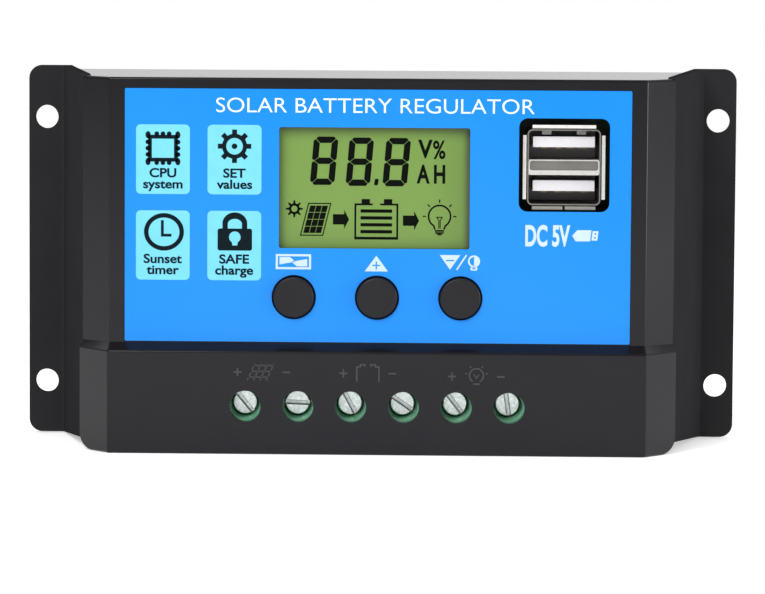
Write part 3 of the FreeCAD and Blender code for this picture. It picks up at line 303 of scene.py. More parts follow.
def bump(tree, shader, height, strength, distance_mm):
    """Gives a surface relief from a height."""
    inputs = {"Height": height, "Strength": strength, "Distance": distance_mm * MM}
    made = add_node(tree, "ShaderNodeBump", inputs)
    tree.links.new(made.outputs["Normal"], shader.inputs["Normal"])


def grained(name, dark, light, rough, grain_mm, relief, patch_mm=9.0, **settings):
    """A surface with soft colour patches, uneven gloss and a fine grain."""
    material, tree, shader = new_material(name, **settings)
    patches = noise(tree, patch_mm, 2.0)
    tree.links.new(blend_colours(tree, patches, dark, light), shader.inputs["Base Color"])
    grain = noise(tree, grain_mm, 4.0)
    tree.links.new(spread(tree, grain, *rough), shader.inputs["Roughness"])
    bump(tree, shader, grain, relief, grain_mm * GRAIN_DEPTH)
    return material


def painted_corner_shade(tree, colour, reach_mm):
    """Paints shade into a colour in slots and inside corners, darker where ambient occlusion finds the
    surface enclosed.
    """
    enclosed, open_air, darkest = 0.45, 0.95, 0.02
    shade = add_node(tree, "ShaderNodeAmbientOcclusion", {"Color": (1, 1, 1, 1), "Distance": reach_mm * MM},
                     only_local=True, samples=8)
    light = mapped(tree, shade.outputs["AO"], enclosed, open_air, darkest, 1.0)
    made = add_node(tree, "ShaderNodeVectorMath", {0: colour, "Scale": light}, operation="SCALE")
    return made.outputs[0]


def brushed(name, dark, light, rough, stretch, streak_mm=0.25, relief=0.15, shade_reach_mm=0.0, **settings):
    """Metal with drawn streaks along one axis, and painted shade in its corners where a reach is given."""
    material, tree, shader = new_material(name, Metallic=1.0, **settings)
    streaks = noise(tree, streak_mm, 5.0, stretch)
    patches = noise(tree, 3.0, 2.0)
    colour = blend_colours(tree, patches, dark, light)
    if shade_reach_mm:
        colour = painted_corner_shade(tree, colour, shade_reach_mm)
    tree.links.new(colour, shader.inputs["Base Color"])
    tree.links.new(spread(tree, streaks, *rough), shader.inputs["Roughness"])
    bump(tree, shader, streaks, relief, streak_mm * STREAK_DEPTH)
    return material


def printed(name, dark, light, rough=(0.45, 0.6)):
    """Screen-printed ink: a faintly uneven film."""
    return grained(name, dark, light, rough, 0.25, 0.08, patch_mm=2.5, Specular_IOR_Level=0.06)


def label_film(name):
    """Blue film under a clear coat, with a painted reflection: faint slanting sheen bands, and painted light
    that grows brighter low down.
    """
    slant, brightest, sheen = math.radians(28), 0.7, 0.3
    top, bottom = 31 * MM, -15 * MM
    material, tree, shader = new_material(name, Coat_Weight=0.06, Coat_Roughness=0.1, Specular_IOR_Level=0.2)
    place = add_node(tree, "ShaderNodeTexCoord")
    turned_place = add_node(tree, "ShaderNodeMapping",
                            {"Vector": place.outputs["Object"], "Rotation": (0, slant, 0)})
    # Painted reflection: slanting bands of lighter blue, as a sheen.
    bands = add_node(tree, "ShaderNodeTexWave", {"Vector": turned_place.outputs[0], "Scale": 7.0,
                                                 "Distortion": 1.6, "Detail": 1.0, "Detail Scale": 0.6},
                     bands_direction="X", wave_profile="SIN")
    parts = add_node(tree, "ShaderNodeSeparateXYZ", {"Vector": place.outputs["Object"]})
    # Painted light that grows brighter towards the bottom of the label.
    painted_light_low_down = mapped(tree, parts.outputs["Z"], top, bottom, 0.0, brightest)
    painted_reflection = add_node(tree, "ShaderNodeMath", {0: bands.outputs["Fac"], 1: sheen, 2: painted_light_low_down},
                     operation="MULTIPLY_ADD")
    blue = blend_colours(tree, painted_reflection.outputs[0], (0.001, 0.215, 0.77), (0.012, 0.235, 0.76))
    tree.links.new(blue, shader.inputs["Base Color"])
    grain = noise(tree, 0.35, 3.0)
    tree.links.new(spread(tree, grain, 0.34, 0.44), shader.inputs["Roughness"])
    bump(tree, shader, grain, 0.04, 0.05)
    return material


def lcd_cell(name):
    """Yellow-green reflective display: fine diffuser grain, darker where the window's edge shades it."""
    shaded_edges = (("X", 14.9, 16.9), ("Z", 22.6, 24.4))
    material, tree, shader = new_material(name, Coat_Weight=0.25, Coat_Roughness=0.1)
    place = add_node(tree, "ShaderNodeTexCoord")
    parts = add_node(tree, "ShaderNodeSeparateXYZ", {"Vector": place.outputs["Object"]})
    shades = []
    for axis, start, end in shaded_edges:
        shades.append(mapped(tree, parts.outputs[axis], start * MM, end * MM, 0.0, 1.0,
                             interpolation_type="SMOOTHSTEP"))
    shade = add_node(tree, "ShaderNodeMath", {0: shades[0], 1: shades[1]}, operation="MAXIMUM")
    grain = noise(tree, 0.2, 2.0)
    cloud = noise(tree, 12.0, 1.0)
    lit = add_node(tree, "ShaderNodeMath", {0: grain, 1: cloud}, operation="ADD")
    halved = add_node(tree, "ShaderNodeMath", {0: lit.outputs[0], 1: 0.5}, operation="MULTIPLY")
    green = blend_colours(tree, halved.outputs[0], (0.122, 0.230, 0.029), (0.146, 0.266, 0.039))
    lit_colour, shaded_colour, result = colour_mix(tree, shade.outputs[0])
    tree.links.new(green, lit_colour)
    shaded_colour.default_value = (0.035, 0.045, 0.012, 1)
    tree.links.new(result, shader.inputs["Base Color"])
    tree.links.new(spread(tree, grain, 0.4, 0.5), shader.inputs["Roughness"])
    return material


# Each surface gives its darker and lighter colour, its range of roughness, its grain and the grain's relief.
metal_black = grained("coated_black_metal", (0.0200, 0.0195, 0.0212), (0.0262, 0.0256, 0.0275),
                      (0.6, 0.72), 0.28, 0.22, Specular_IOR_Level=0.0)
cover_black = grained("moulded_black_plastic", (0.0062, 0.0060, 0.0082), (0.0086, 0.0083, 0.0108),
                      (0.13, 0.2), 0.2, 0.05, Specular_IOR_Level=0.24)
# The raised marks are moulded in the cover's black plastic; their lighter colour is a painted highlight along
# the raised lines.
mark_black = grained("black_marks_painted_highlight", (0.022, 0.022, 0.025), (0.045, 0.045, 0.049), (0.3, 0.4), 0.2, 0.1)
button_black = grained("button_black_plastic", (0.0100, 0.0096, 0.0118), (0.0140, 0.0132, 0.0156),
                       (0.34, 0.44), 0.16, 0.15, Specular_IOR_Level=0.22)
terminal_green = grained("terminal_green_plastic", (0.13, 0.40, 0.23), (0.18, 0.50, 0.30),
                         (0.3, 0.42), 0.2, 0.1)
white_plastic = grained("connector_white_plastic", (0.62, 0.60, 0.62), (0.70, 0.68, 0.70),
                        (0.35, 0.5), 0.2, 0.08)
board_green = grained("circuit_board_green", (0.010, 0.10, 0.035), (0.018, 0.14, 0.05), (0.3, 0.4), 0.5, 0.2)
epoxy_black = grained("chip_epoxy", (0.012, 0.012, 0.013), (0.02, 0.02, 0.021), (0.5, 0.65), 0.12, 0.3)
ferrite_grey = grained("ferrite_grey", (0.05, 0.05, 0.052), (0.08, 0.08, 0.082), (0.6, 0.75), 0.2, 0.3)
silicone_grey = grained("silicone_grey", (0.25, 0.26, 0.27), (0.32, 0.33, 0.34), (0.6, 0.7), 0.5, 0.1)
guide_clear = grained("light_guide_acrylic", (0.70, 0.74, 0.70), (0.80, 0.83, 0.80), (0.1, 0.2), 0.6, 0.03)
# The zinc-plated screws get painted shade in their slots and inside corners.
steel_zinc = brushed("zinc_plated_steel", (0.58, 0.64, 0.60), (0.80, 0.86, 0.83), (0.24, 0.4), (1, 1, 1),
                     streak_mm=0.4, relief=0.25, shade_reach_mm=0.6)
steel_bright = brushed("bright_socket_steel", (0.60, 0.59, 0.56), (0.80, 0.78, 0.75), (0.18, 0.3), (8, 1, 1))
steel_fastener = brushed("blackened_fastener_steel", (0.20, 0.20, 0.21), (0.28, 0.28, 0.29),
                         (0.3, 0.45), (1, 1, 1))
brass_tinned = brushed("tinned_brass", (0.66, 0.64, 0.56), (0.75, 0.72, 0.64), (0.25, 0.4), (1, 6, 1))
# A darkened copy of the socket steel, as painted shade: the shell's inside, its lower lips, its spring tabs
# and the hollow of the middle bar.
steel_painted_shade = brushed("socket_steel_painted_shade", (0.17, 0.165, 0.15), (0.28, 0.27, 0.25), (0.35, 0.5), (8, 1, 1))
# Gold-flashed socket contacts, darkened well below gold as painted shade where they sit recessed under the
# tongue.
gold_flash_in_painted_shade = brushed("gold_flash_in_painted_shade", (0.16, 0.12, 0.06), (0.24, 0.18, 0.09), (0.35, 0.5), (1, 8, 1))
can_metal = brushed("capacitor_can", (0.72, 0.73, 0.74), (0.80, 0.81, 0.82), (0.25, 0.4), (1, 1, 8))
film_blue = label_film("printed_blue_film")
lcd_green = lcd_cell("lcd_green_cell")
ink_white = printed("printed_white_ink", (0.66, 0.76, 0.88), (0.72, 0.82, 0.92))
ink_pale = printed("printed_pale_ink", (0.46, 0.60, 0.82), (0.54, 0.67, 0.86))
ink_cyan = printed("printed_cyan_ink", (0.15, 0.54, 0.70), (0.19, 0.60, 0.76))
ink_dark = printed("printed_dark_ink", (0.0020, 0.0070, 0.0100), (0.0045, 0.0110, 0.0150))
lcd_dark = printed("lcd_dark_segments", (0.0008, 0.0018, 0.0006), (0.0018, 0.0032, 0.0012))

MATERIALS = {
    "heatsink_base": metal_black,
    "front_cover": cover_black,
    "label_film": film_blue,
    "main_board": board_green,
    "display_board": board_green,
    "lcd_glass": lcd_green,
    "lcd_backlight": guide_clear,
    "lcd_pins": brass_tinned,
    "button_cap": button_black,
    "switch_body": epoxy_black,
    "switch_plunger": button_black,
    "terminal_block": terminal_green,
    "terminal_screw": steel_zinc,
    "clamp_cage": steel_zinc,
    "terminal_pin": brass_tinned,
    "usb_shell": steel_bright,
    "usb_insulator": white_plastic,
    "usb_contacts": gold_flash_in_painted_shade,
    "main_capacitor": can_metal,
    "usb_capacitor": can_metal,
    "buck_inductor": ferrite_grey,
    "thermal_pad": silicone_grey,
    "mosfet_screws": steel_zinc,
    "board_standoffs": steel_zinc,
    "board_screws": steel_zinc,
    "display_screws": steel_zinc,
    "cover_screws": steel_fastener,
}


def dress_nodes():
    """Gives every CAD node its material, found by its name without the number."""
    for name, node in nodes.items():
        kind = name.rstrip("0123456789").rstrip("_")
        node.data.materials.clear()
        node.data.materials.append(MATERIALS.get(kind, epoxy_black))


def soften_edges(node, width_mm):
    """Breaks a CAD node's sharp edges by a hair, so that they catch the light."""
    edge = nodes[node].modifiers.new("soft_edges", "BEVEL")
    edge.width = width_mm * MM
    edge.segments = 2
    edge.limit_method = "ANGLE"
    edge.angle_limit = BEVEL_ANGLE


# ---------------------------------------------------------------- printed label
LABEL_DEPTH = span("label_film")[4]
BADGE_WIDTH = 9.7
BADGE_HEIGHT = 12.5
BADGE_LEFT_X = -38.63
BADGE_RIGHT_X = -25.75
BADGE_UPPER_Z = 17.98
BADGE_LOWER_Z = 2.52
BADGE_CORNER = 0.85
CAPTION_HEIGHT = 1.55
CAPTION_SQUEEZE = 1.14
CAPTION_WEIGHT = 0.025
CAPTION_DROPS = (3.2, 5.2)
ICON_DEPTH = LABEL_DEPTH + INK_THICKNESS


def badge_plate(x, z):
    """A badge's pale plate with round corners."""
    half_width, half_height = BADGE_WIDTH / 2, BADGE_HEIGHT / 2
    return [rounded(x - half_width, z - half_height, x + half_width, z + half_height, BADGE_CORNER)]


def chip_icon(x, z):
    """A square chip seen from above: thick frame, three round pins a side and lobed corners."""
    half_width, half_height, rim = 2.68, 2.4, 0.68
    pin, pin_pitch, out_upright, out_sideways = 0.42, 1.12, 0.2, 0.04
    lobe_width, lobe_height = 0.46, 0.66
    inner_width, inner_height = half_width - rim, half_height - rim
    shapes = [[rectangle(x - half_width, z - half_height, x + half_width, z + half_height),
               rectangle(x - inner_width, z - inner_height, x + inner_width, z + inner_height)]]
    for place in (-pin_pitch, 0, pin_pitch):
        for side in (-1, 1):
            shapes.append([ellipse(x + place, z + side * (half_height + out_upright), pin, steps=16)])
            shapes.append([ellipse(x + side * (half_width + out_sideways), z + place, pin, steps=16)])
    for side_x in (-1, 1):
        for side_z in (-1, 1):
            corner_x, corner_z = x + side_x * half_width, z + side_z * half_height
            shapes.append([ellipse(corner_x, corner_z, lobe_width, lobe_height, steps=20)])
    return shapes


def gear_icon(x, z):
    """A ring with eight square teeth and a hub."""
    teeth, outer, inner, hub = 8, 2.25, 1.5, 0.5
    tooth = rectangle(-0.44, 2.2, 0.44, 3.0)
    shapes = [[ellipse(x, z, outer), ellipse(x, z, inner)], [ellipse(x, z, hub, steps=24)]]
    for number in range(teeth):
        shapes.append([turned(tooth, x, z, number * FULL_TURN / teeth)])
    return shapes


def clock_icon(x, z):
    """A thick ring with two hands at a right angle."""
    outer_width, outer_height, rim = 3.6, 3.38, 0.8
    hands = [(x - 0.29, z + 2.1), (x - 0.29, z - 0.6), (x + 1.35, z - 0.6)]
    inner = ellipse(x, z, outer_width - rim, outer_height - rim)
    return [[ellipse(x, z, outer_width, outer_height), inner], [line(hands, width=0.5)]]


def padlock_icon(x, z):
    """A closed padlock: body with a keyhole, and a round shackle."""
    half_width, bottom, top, corner = 3.1, -3.3, 0.65, 0.4
    key_middle, key_bottom, key_radius, throat, throat_angle = -0.9, -2.4, 1.05, 0.45, 0.55
    shackle_out, shackle_in = 2.22, 1.28
    foot = z + top - 0.1
    start = -math.pi / 2 + throat_angle
    end = start + FULL_TURN - 2 * throat_angle
    keyhole = ellipse(x, z + key_middle, key_radius, start=start, end=end, steps=24)
    keyhole += [(x - throat, z + key_bottom), (x + throat, z + key_bottom)]
    body = rounded(x - half_width, z + bottom, x + half_width, z + top, corner)
    outer = ellipse(x, z + 1.6, shackle_out, 1.95, start=0, end=math.pi, steps=24)
    inner = ellipse(x, z + 1.5, shackle_in, 0.9, start=0, end=math.pi, steps=24)
    shackle = [(x + shackle_out, foot)] + outer + [(x - shackle_out, foot), (x - shackle_in, foot)]
    shackle += inner[::-1] + [(x + shackle_in, foot)]
    return [[body, keyhole], [shackle]]


def make_badges():
    """Four pale plates, each with a pictogram and two caption lines."""
    # plate's middle, the icon's shift right and lift, and the two words
    badges = (
        (BADGE_LEFT_X, BADGE_UPPER_Z, 0.0, chip_icon, 1.97, "CPU", "system"),
        (BADGE_RIGHT_X, BADGE_UPPER_Z, 0.0, gear_icon, 2.41, "SET", "values"),
        (BADGE_LEFT_X, BADGE_LOWER_Z, 0.21, clock_icon, 2.39, "Sunset", "timer"),
        (BADGE_RIGHT_X, BADGE_LOWER_Z, 0.1, padlock_icon, 2.42, "SAFE", "charge"),
    )
    plates, icons, captions = [], [], []
    for x, z, shift, draw, lift, *words in badges:
        plates.append(badge_plate(x, z))
        icons += draw(x + shift, z + lift)
        for word, drop in zip(words, CAPTION_DROPS):
            captions.append(Lettering(word, x, z - drop, CAPTION_HEIGHT, CAPTION_SQUEEZE, CAPTION_WEIGHT))
    print_shapes("badge_plates", plates, [], LABEL_DEPTH, ink_cyan)
    print_shapes("badge_icons", icons, [], ICON_DEPTH, ink_dark)
    print_shapes("badge_captions", [], captions, ICON_DEPTH, ink_dark)


def panel_icon(x, z):
    """A framed panel split by a slanting line."""
    half_width, half_height, rim = 3.18, 1.36, 0.38
    inner_width, inner_height = half_width - rim, half_height - rim
    left_leaf = [(-inner_width + 0.3, inner_height - 0.15), (-0.6, inner_height - 0.15), (0.35, 0.0),
                 (-1.1, -0.25), (-inner_width + 0.3, -0.5)]
    right_leaf = [(-point_x, -point_z) for point_x, point_z in left_leaf]
    return [[rectangle(x - half_width, z - half_height, x + half_width, z + half_height),
             rectangle(x - inner_width, z - inner_height, x + inner_width, z + inner_height)],
            [moved(left_leaf, x, z)], [moved(right_leaf, x, z)]]


def cross(x, z, reach, width):
    """A plus sign's outline."""
    half = width / 2
    arm = [(half, half), (half, reach), (-half, reach)]
    return [point for turn in range(4) for point in turned(arm, x, z, turn * math.pi / 2)]


def up_arrow_icon(x, z):
    """A solid triangle that points up, with a plus cut out of it."""
    triangle = [(x - 2.1, z - 1.4), (x + 2.1, z - 1.4), (x, z + 1.42)]
    return [[triangle, cross(x, z - 0.32, reach=0.72, width=0.24)]]


def down_arrow_icon(x, z):
    """A solid triangle that points down, with a minus cut out of it."""
    triangle = [(x - 1.85, z + 1.3), (x + 1.85, z + 1.3), (x, z - 1.32)]
    return [[triangle, rectangle(x - 0.72, z + 0.2, x + 0.72, z + 0.44)]]


def half_bulb_icon(x, z):
    """A bulb whose right half is filled, over a small cap."""
    outer, inner, overlap = 1.08, 0.78, 0.02
    top, bottom = math.pi / 2, math.pi * 3 / 2
    left_ring = ellipse(x, z, outer, start=top, end=bottom, steps=20)
    left_ring += ellipse(x, z, inner, start=bottom, end=top, steps=20)
    right_half = ellipse(x + overlap, z, outer, start=-top, end=top, steps=20)
    cap = rounded(x - 0.62, z - 1.66, x + 0.62, z - 0.96, 0.25)
    cap_slot = rectangle(x - 0.3, z - 1.42, x + 0.3, z - 1.2)
    return [[left_ring], [right_half], [cap, cap_slot]]


def plug_icon(x, z):
    """A plain plug: body, collar and two square contacts."""
    lean, contact = 0.12, 0.3
    body = [(x - 2.0, z), (x - 1.4, z - 1.0), (x + 1.2, z - 1.0), (x + 1.45, z + 1.0), (x - 1.1, z + 1.0)]
    nose = slanted(rectangle(x + 1.55, z - 0.85, x + 2.6, z + 0.85), lean, z)
    left = x + 1.95
    holes = [slanted(rectangle(left, z + low, left + contact, z + low + contact), lean, z)
             for low in (-0.5, 0.2)]
    return [[body], [nose, *holes]]


def make_label_print():
    """White title and button pictograms, and the paler marking under the sockets."""
    title = Lettering("SOLAR BATTERY REGULATOR", middle=-0.5, baseline=26.5, height=2.6, squeeze=1.116,
                      weight=-0.005)
    socket_words = Lettering("DC 5V", middle=30.6, baseline=2.95, height=3.5, squeeze=0.55, weight=0.035)
    first, second, third = [sum(span(f"button_cap_{i + 1}")[:2]) / 2 for i in range(BUTTONS)]
    shapes = panel_icon(first - 0.08, -0.3) + up_arrow_icon(second - 0.15, -0.54)
    stroke = [(third - 0.7, -1.55), (third + 1.05, 1.12)]
    shapes += down_arrow_icon(third - 1.9, -0.2) + [[line(stroke, width=0.26)]]
    shapes += half_bulb_icon(third + 2.4, 0.0)
    print_shapes("title_lettering", [], [title], LABEL_DEPTH, ink_white)
    print_shapes("button_icons", shapes, [], LABEL_DEPTH, ink_pale)
    plug = plug_icon(37.0, 4.75)
    print_shapes("socket_marking", plug, [socket_words], LABEL_DEPTH, ink_pale)


# ---------------------------------------------------------------- display
LCD_DEPTH = span("lcd_glass")[4]


def digit(left, bottom, slant=0.085):
    """Seven bevelled segments of one display digit."""
    width, height, stroke, corner, gap = 4.42, 8.7, 1.14, 0.75, 0.07
    middle = height / 2
    top = [(corner, height), (width - corner, height), (width - corner / 2 - gap, height - corner / 2),
           (width - stroke - gap, height - stroke), (stroke + gap, height - stroke),
           (corner / 2 + gap, height - corner / 2)]
    point = 0.35 * stroke
    side = [(0, height - corner), (corner / 2, height - corner / 2 - gap), (stroke, height - stroke - gap),
            (stroke, middle + stroke / 2 + gap), (point, middle + gap), (0, middle + 0.3 * stroke)]
    bar = [(point + gap, middle), (stroke + gap, middle + stroke / 2),
           (width - stroke - gap, middle + stroke / 2), (width - point - gap, middle),
           (width - stroke - gap, middle - stroke / 2), (stroke + gap, middle - stroke / 2)]
    segments = [top, side, bar]
    segments.append([(x, height - z) for x, z in top])
    segments.append([(x, height - z) for x, z in side])
    segments.append([(width - x, z) for x, z in side])
    segments.append([(width - x, height - z) for x, z in side])
    return [[slanted([(left + x, bottom + z) for x, z in points], slant, bottom)] for points in segments]


def sun_icon(x, z):
    """A ring with eight tapered rays."""
    rays, outer, inner = 8, 0.98, 0.56
    ray = [(-0.24, 0.86), (0.24, 0.86), (0.12, 1.55), (-0.12, 1.55)]
    shapes = [[ellipse(x, z, outer, steps=32), ellipse(x, z, inner, steps=32)]]
    for number in range(rays):
        shapes.append([turned(ray, x, z, number * FULL_TURN / rays)])
    return shapes


def solar_panel_icon(left, bottom):
    """A leaning panel: thin frame round cells in four rows and three columns."""
    width, height, rim, lean = 4.2, 5.95, 0.2, 0.25
    frame_outline = rectangle(left, bottom, left + width, bottom + height)
    frame_hole = rectangle(left + rim, bottom + rim, left + width - rim, bottom + height - rim)
    shapes = [[slanted(frame_outline, lean, bottom), slanted(frame_hole, lean, bottom)]]
    columns, rows, margin, gap = 3, 4, 0.5, 0.1
    cell_width = (width - 2 * margin - (columns - 1) * gap) / columns
    cell_height = (height - 2 * margin - (rows - 1) * gap) / rows
    for column in range(columns):
        for row in range(rows):
            x = left + margin + column * (cell_width + gap)
            z = bottom + margin + row * (cell_height + gap)
            shapes.append([slanted(rectangle(x, z, x + cell_width, z + cell_height), lean, bottom)])
    return shapes


def arrow_icon(left, z):
    """A short thick arrow that points right."""
    neck, tip, half_shaft, half_head = left + 2.02, left + 2.9, 0.92, 1.72
    return [[[(left, z - half_shaft), (neck, z - half_shaft), (neck, z - half_head), (tip, z),
              (neck, z + half_head), (neck, z + half_shaft), (left, z + half_shaft)]]]


def battery_icon(left, bottom):
    """A case open at the top between two terminals, holding four charge bars."""
    width, height, wall, floor, lip = 7.9, 6.5, 0.33, 0.48, 2.95
    bars, bar_pitch, bar_half, bar_inset = 4, 1.24, 0.3, 1.1
    terminal_width, terminal_height = 1.5, 0.8
    right, top = left + width, bottom + height
    case = [(left, top), (left, bottom), (right, bottom), (right, top), (right - lip - 0.45, top),
            (right - lip - 0.2, top - wall), (right - wall, top - wall), (right - wall, bottom + floor),
            (left + wall, bottom + floor), (left + wall, top - wall), (left + lip + 0.25, top - wall),
            (left + lip + 0.45, top)]
    shapes = [[case]]
    for terminal in (left + 1.28, right - 2.6):
        shapes.append([rectangle(terminal, top, terminal + terminal_width, top + terminal_height)])
    for bar in range(bars):
        middle = bottom + 1.42 + bar_pitch * bar
        shapes.append([rectangle(left + bar_inset, middle - bar_half, right - bar_inset, middle + bar_half)])
    return shapes


def bulb_icon(x, z):
    """A lamp in outline with a filament, a screw cap and five rays."""
    outer, wall = 1.98, 0.3
    opening = math.radians(32)
    glass = ellipse(x, z, outer, start=-math.pi / 2 + opening, end=math.pi * 3 / 2 - opening, steps=40)
    glass = [(x + 0.82, z - 2.35)] + glass + [(x - 0.82, z - 2.35)]
    shapes = [[line(glass, wall)]]
    filament = [(x - 0.12, z - 2.2), (x - 0.12, z - 0.75), (x - 0.5, z - 0.15), (x + 0.5, z - 0.15),
                (x + 0.12, z - 0.75), (x + 0.12, z - 2.2)]
    shapes.append([line(filament, width=0.16)])
    cap_bars = ((0.85, -2.75, -2.45, 0.12), (0.8, -3.12, -2.85, 0.12), (0.4, -3.4, -3.14, 0.1))
    for half_width, low, high, corner in cap_bars:
        shapes.append([rounded(x - half_width, z + low, x + half_width, z + high, corner)])
    ray = rectangle(-0.11, 2.45, 0.11, 3.05)
    for angle in (-90, -45, 0, 45, 90):
        shapes.append([turned(ray, x, z, math.radians(angle))])
    return shapes


def make_lcd_print():
    """Everything that the display shows: three digits, units and a row of pictograms."""
    shapes = digit(-12.29, 13.49) + digit(-5.87, 13.36) + digit(0.78, 13.33)
    point_base = 13.5
    shapes.append([slanted(rounded(-0.72, point_base, -0.02, 14.65, 0.2), 0.15, point_base)])
    units = [Lettering("V", middle=8.5, baseline=18.56, height=3.05, squeeze=0.85, weight=0.03),
             Lettering("%", middle=11.0, baseline=18.4, height=3.1, squeeze=0.74, weight=0.02),
             Lettering("A", middle=8.15, baseline=14.0, height=3.1, squeeze=0.68, weight=0.03),
             Lettering("H", middle=11.1, baseline=14.0, height=3.1, squeeze=0.7, weight=0.03)]
    print_shapes("lcd_digits", shapes, units, LCD_DEPTH, lcd_dark)
    icons = sun_icon(-15.05, 9.15) + solar_panel_icon(-14.04, 4.3) + arrow_icon(-8.07, 7.3)
    icons += battery_icon(-4.2, 3.7) + arrow_icon(4.55, 7.15) + bulb_icon(11.15, 7.95)
    print_shapes("lcd_pictograms", icons, [], LCD_DEPTH, lcd_dark)


# ---------------------------------------------------------------- sockets
SOCKET_MOUTHS = ((10.47, 15.59), (18.35, 23.47))
SHEET = 0.22
LIP_REACH = 0.8
SOCKET_LENGTH = 19.5


def add_lip(made, x, z, direction, half_length):
    """A flared lip of bent sheet that starts at (x, z) and opens out along direction."""
    front = span("usb_shell")[4]
    # how far out, and how far in front of the shell's front
    section = [(-0.02, -1.4), (0.02, -0.55), (0.2, -0.2), (0.5, -0.06), (0.8, 0.0),
               (0.8, -0.2), (0.55, -0.26), (0.36, -0.42), (0.28, -0.7), (0.26, -1.4)]
    out_x, out_z = direction
    rings = []
    for side in (-half_length, half_length):
        ring = []
        for out, depth in section:
            place = (x + out_x * out + out_z * side, -(front + depth), z + out_z * out + out_x * side)
            ring.append(made.verts.new(place))
        rings.append(ring)
    count = len(section)
    for i in range(count):
        j = (i + 1) % count
        made.faces.new((rings[0][i], rings[0][j], rings[1][j], rings[1][i]))
    made.faces.new(rings[0])
    made.faces.new(rings[1][::-1])


def make_socket_shell():
    """Twin socket shell: thin drawn sheet with round corners, flared lips, spring tabs and a middle bar."""
    low_x, high_x, low_z, high_z, front = span("usb_shell")
    left, right, bottom, top = low_x + LIP_REACH, high_x - LIP_REACH, low_z + LIP_REACH, high_z - LIP_REACH
    inner_left, inner_right = left + SHEET, right - SHEET
    x, z = (left + right) / 2, (bottom + top) / 2
    back = front - SOCKET_LENGTH
    outer = rounded(left, bottom, right, top, 0.9)
    inner = rounded(inner_left, bottom + SHEET, inner_right, top - SHEET, 0.7)
    # Pieces that stand in shade take the darkened steel, as painted shade; the lit lips and the middle bar
    # take the bright steel.
    shaded_sheet = bmesh.new()
    add_shape(shaded_sheet, [outer, inner], back, front - 0.15)

    bar_low, bar_high = SOCKET_MOUTHS[0][1], SOCKET_MOUTHS[1][0]
    bar_back = front - 1.2
    bar = rounded(inner_left, bar_low, inner_right, bar_high, 0.5)
    hollow = rounded(inner_left + SHEET, bar_low + 0.85, inner_right - SHEET, bar_high - SHEET, 0.4)
    bright = bmesh.new()
    add_shape(bright, [bar, hollow], bar_back, front - 0.1)
    for level in (bar_low, bar_high - SHEET):
        add_shape(bright, [rectangle(inner_left, level, inner_right, level + SHEET)], back, bar_back)

    add_lip(bright, x, top, (0, 1), half_length=5.7)
    add_lip(bright, left, z, (-1, 0), half_length=5.75)
    add_lip(bright, right, z, (1, 0), half_length=5.75)
    tab_half, tab_top = 0.85, SOCKET_MOUTHS[1][1]
    for side in (-1, 1):
        add_lip(shaded_sheet, x + side * 2.95, bottom, (0, -1), half_length=2.75)
        tab = x + side * 3.12
        add_shape(shaded_sheet, [rounded(tab - tab_half, tab_top - 0.62, tab + tab_half, tab_top + 0.1, 0.2)],
                  front - 1.3, front - 1.1)
    add_shape(shaded_sheet, [hollow], front - 1.1, front - 0.75)
    shell = finish_mesh("socket_shell", shaded_sheet, "housing", steel_painted_shade)
    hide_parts("usb_shell")
    finish_mesh("socket_lips", bright, "housing", steel_bright)


# ---------------------------------------------------------------- raised marks over the terminals
TERMINAL_DEPTH = span("front_cover")[4]
MARK_HEIGHT = 0.2
MARK_ROOT = 0.02
MARK_WIDTH = 0.26


def terminal_marks(x, z, picture):
    """A plus, a pictogram and a minus, as raised lines."""
    plus = [cross(x - 4.4, z, reach=0.75, width=0.3)]
    minus = [rectangle(x + 3.7, z - 0.15, x + 5.1, z + 0.15)]
    return [plus, minus] + picture(x, z)


def raised_panel(x, z):
    """A leaning grid of four upright and three level lines."""
    half_height, lean, pitch, half_line = 1.5, 0.45, 1.15, MARK_WIDTH / 2
    shapes = []
    for column in range(4):
        left = x - 2.1 + column * pitch
        upright = rectangle(left, z - half_height, left + MARK_WIDTH, z + half_height)
        shapes.append([slanted(upright, lean, z)])
    for row in (-0.9, 0.15, 1.2):
        shift = row * lean
        shapes.append([rectangle(x - 2.1 + shift, z + row - half_line, x + 1.6 + shift, z + row + half_line)])
    return shapes


def raised_battery(x, z):
    """Two bent lines that face each other, for a case with two terminals."""
    left_half = [(-2.0, -1.5), (-2.0, 1.2), (-1.35, 1.2), (-1.35, 1.6), (-0.55, 1.6), (-0.55, 1.2)]
    right_half = [(-point_x, point_z) for point_x, point_z in left_half]
    return [[line(moved(half, x, z), MARK_WIDTH)] for half in (left_half, right_half)]


def raised_bulb(x, z):
    """A lamp: an open ring over a bar, a filament and four rays."""
    radius, lift, opening = 1.25, 0.2, math.radians(60)
    glass = ellipse(x, z + lift, radius, start=-opening, end=FULL_TURN - 2 * opening, steps=28)
    filament = [(x - 0.45, z + 0.4), (x, z - 0.3), (x + 0.45, z + 0.4)]
    shapes = [[line(glass, MARK_WIDTH)], [rectangle(x - 0.6, z - 1.5, x + 0.6, z - 1.2)]]
    shapes.append([line(filament, width=0.2)])
    ray = rectangle(-0.12, 1.65, 0.12, 2.05)
    for angle in (-80, -35, 35, 80):
        shapes.append([turned(ray, x, z + lift, math.radians(angle))])
    return shapes


def make_terminal_marks():
    """The raised marks over the three pairs of terminals, rooted just under the cover's surface."""
    shapes = terminal_marks(-20.55, -20.1, raised_panel) + terminal_marks(-1.5, -20.2, raised_battery)
    shapes += terminal_marks(18.0, -20.6, raised_bulb)
    print_shapes("terminal_marks", shapes, [], TERMINAL_DEPTH - MARK_ROOT, mark_black,
                 thickness=MARK_HEIGHT)


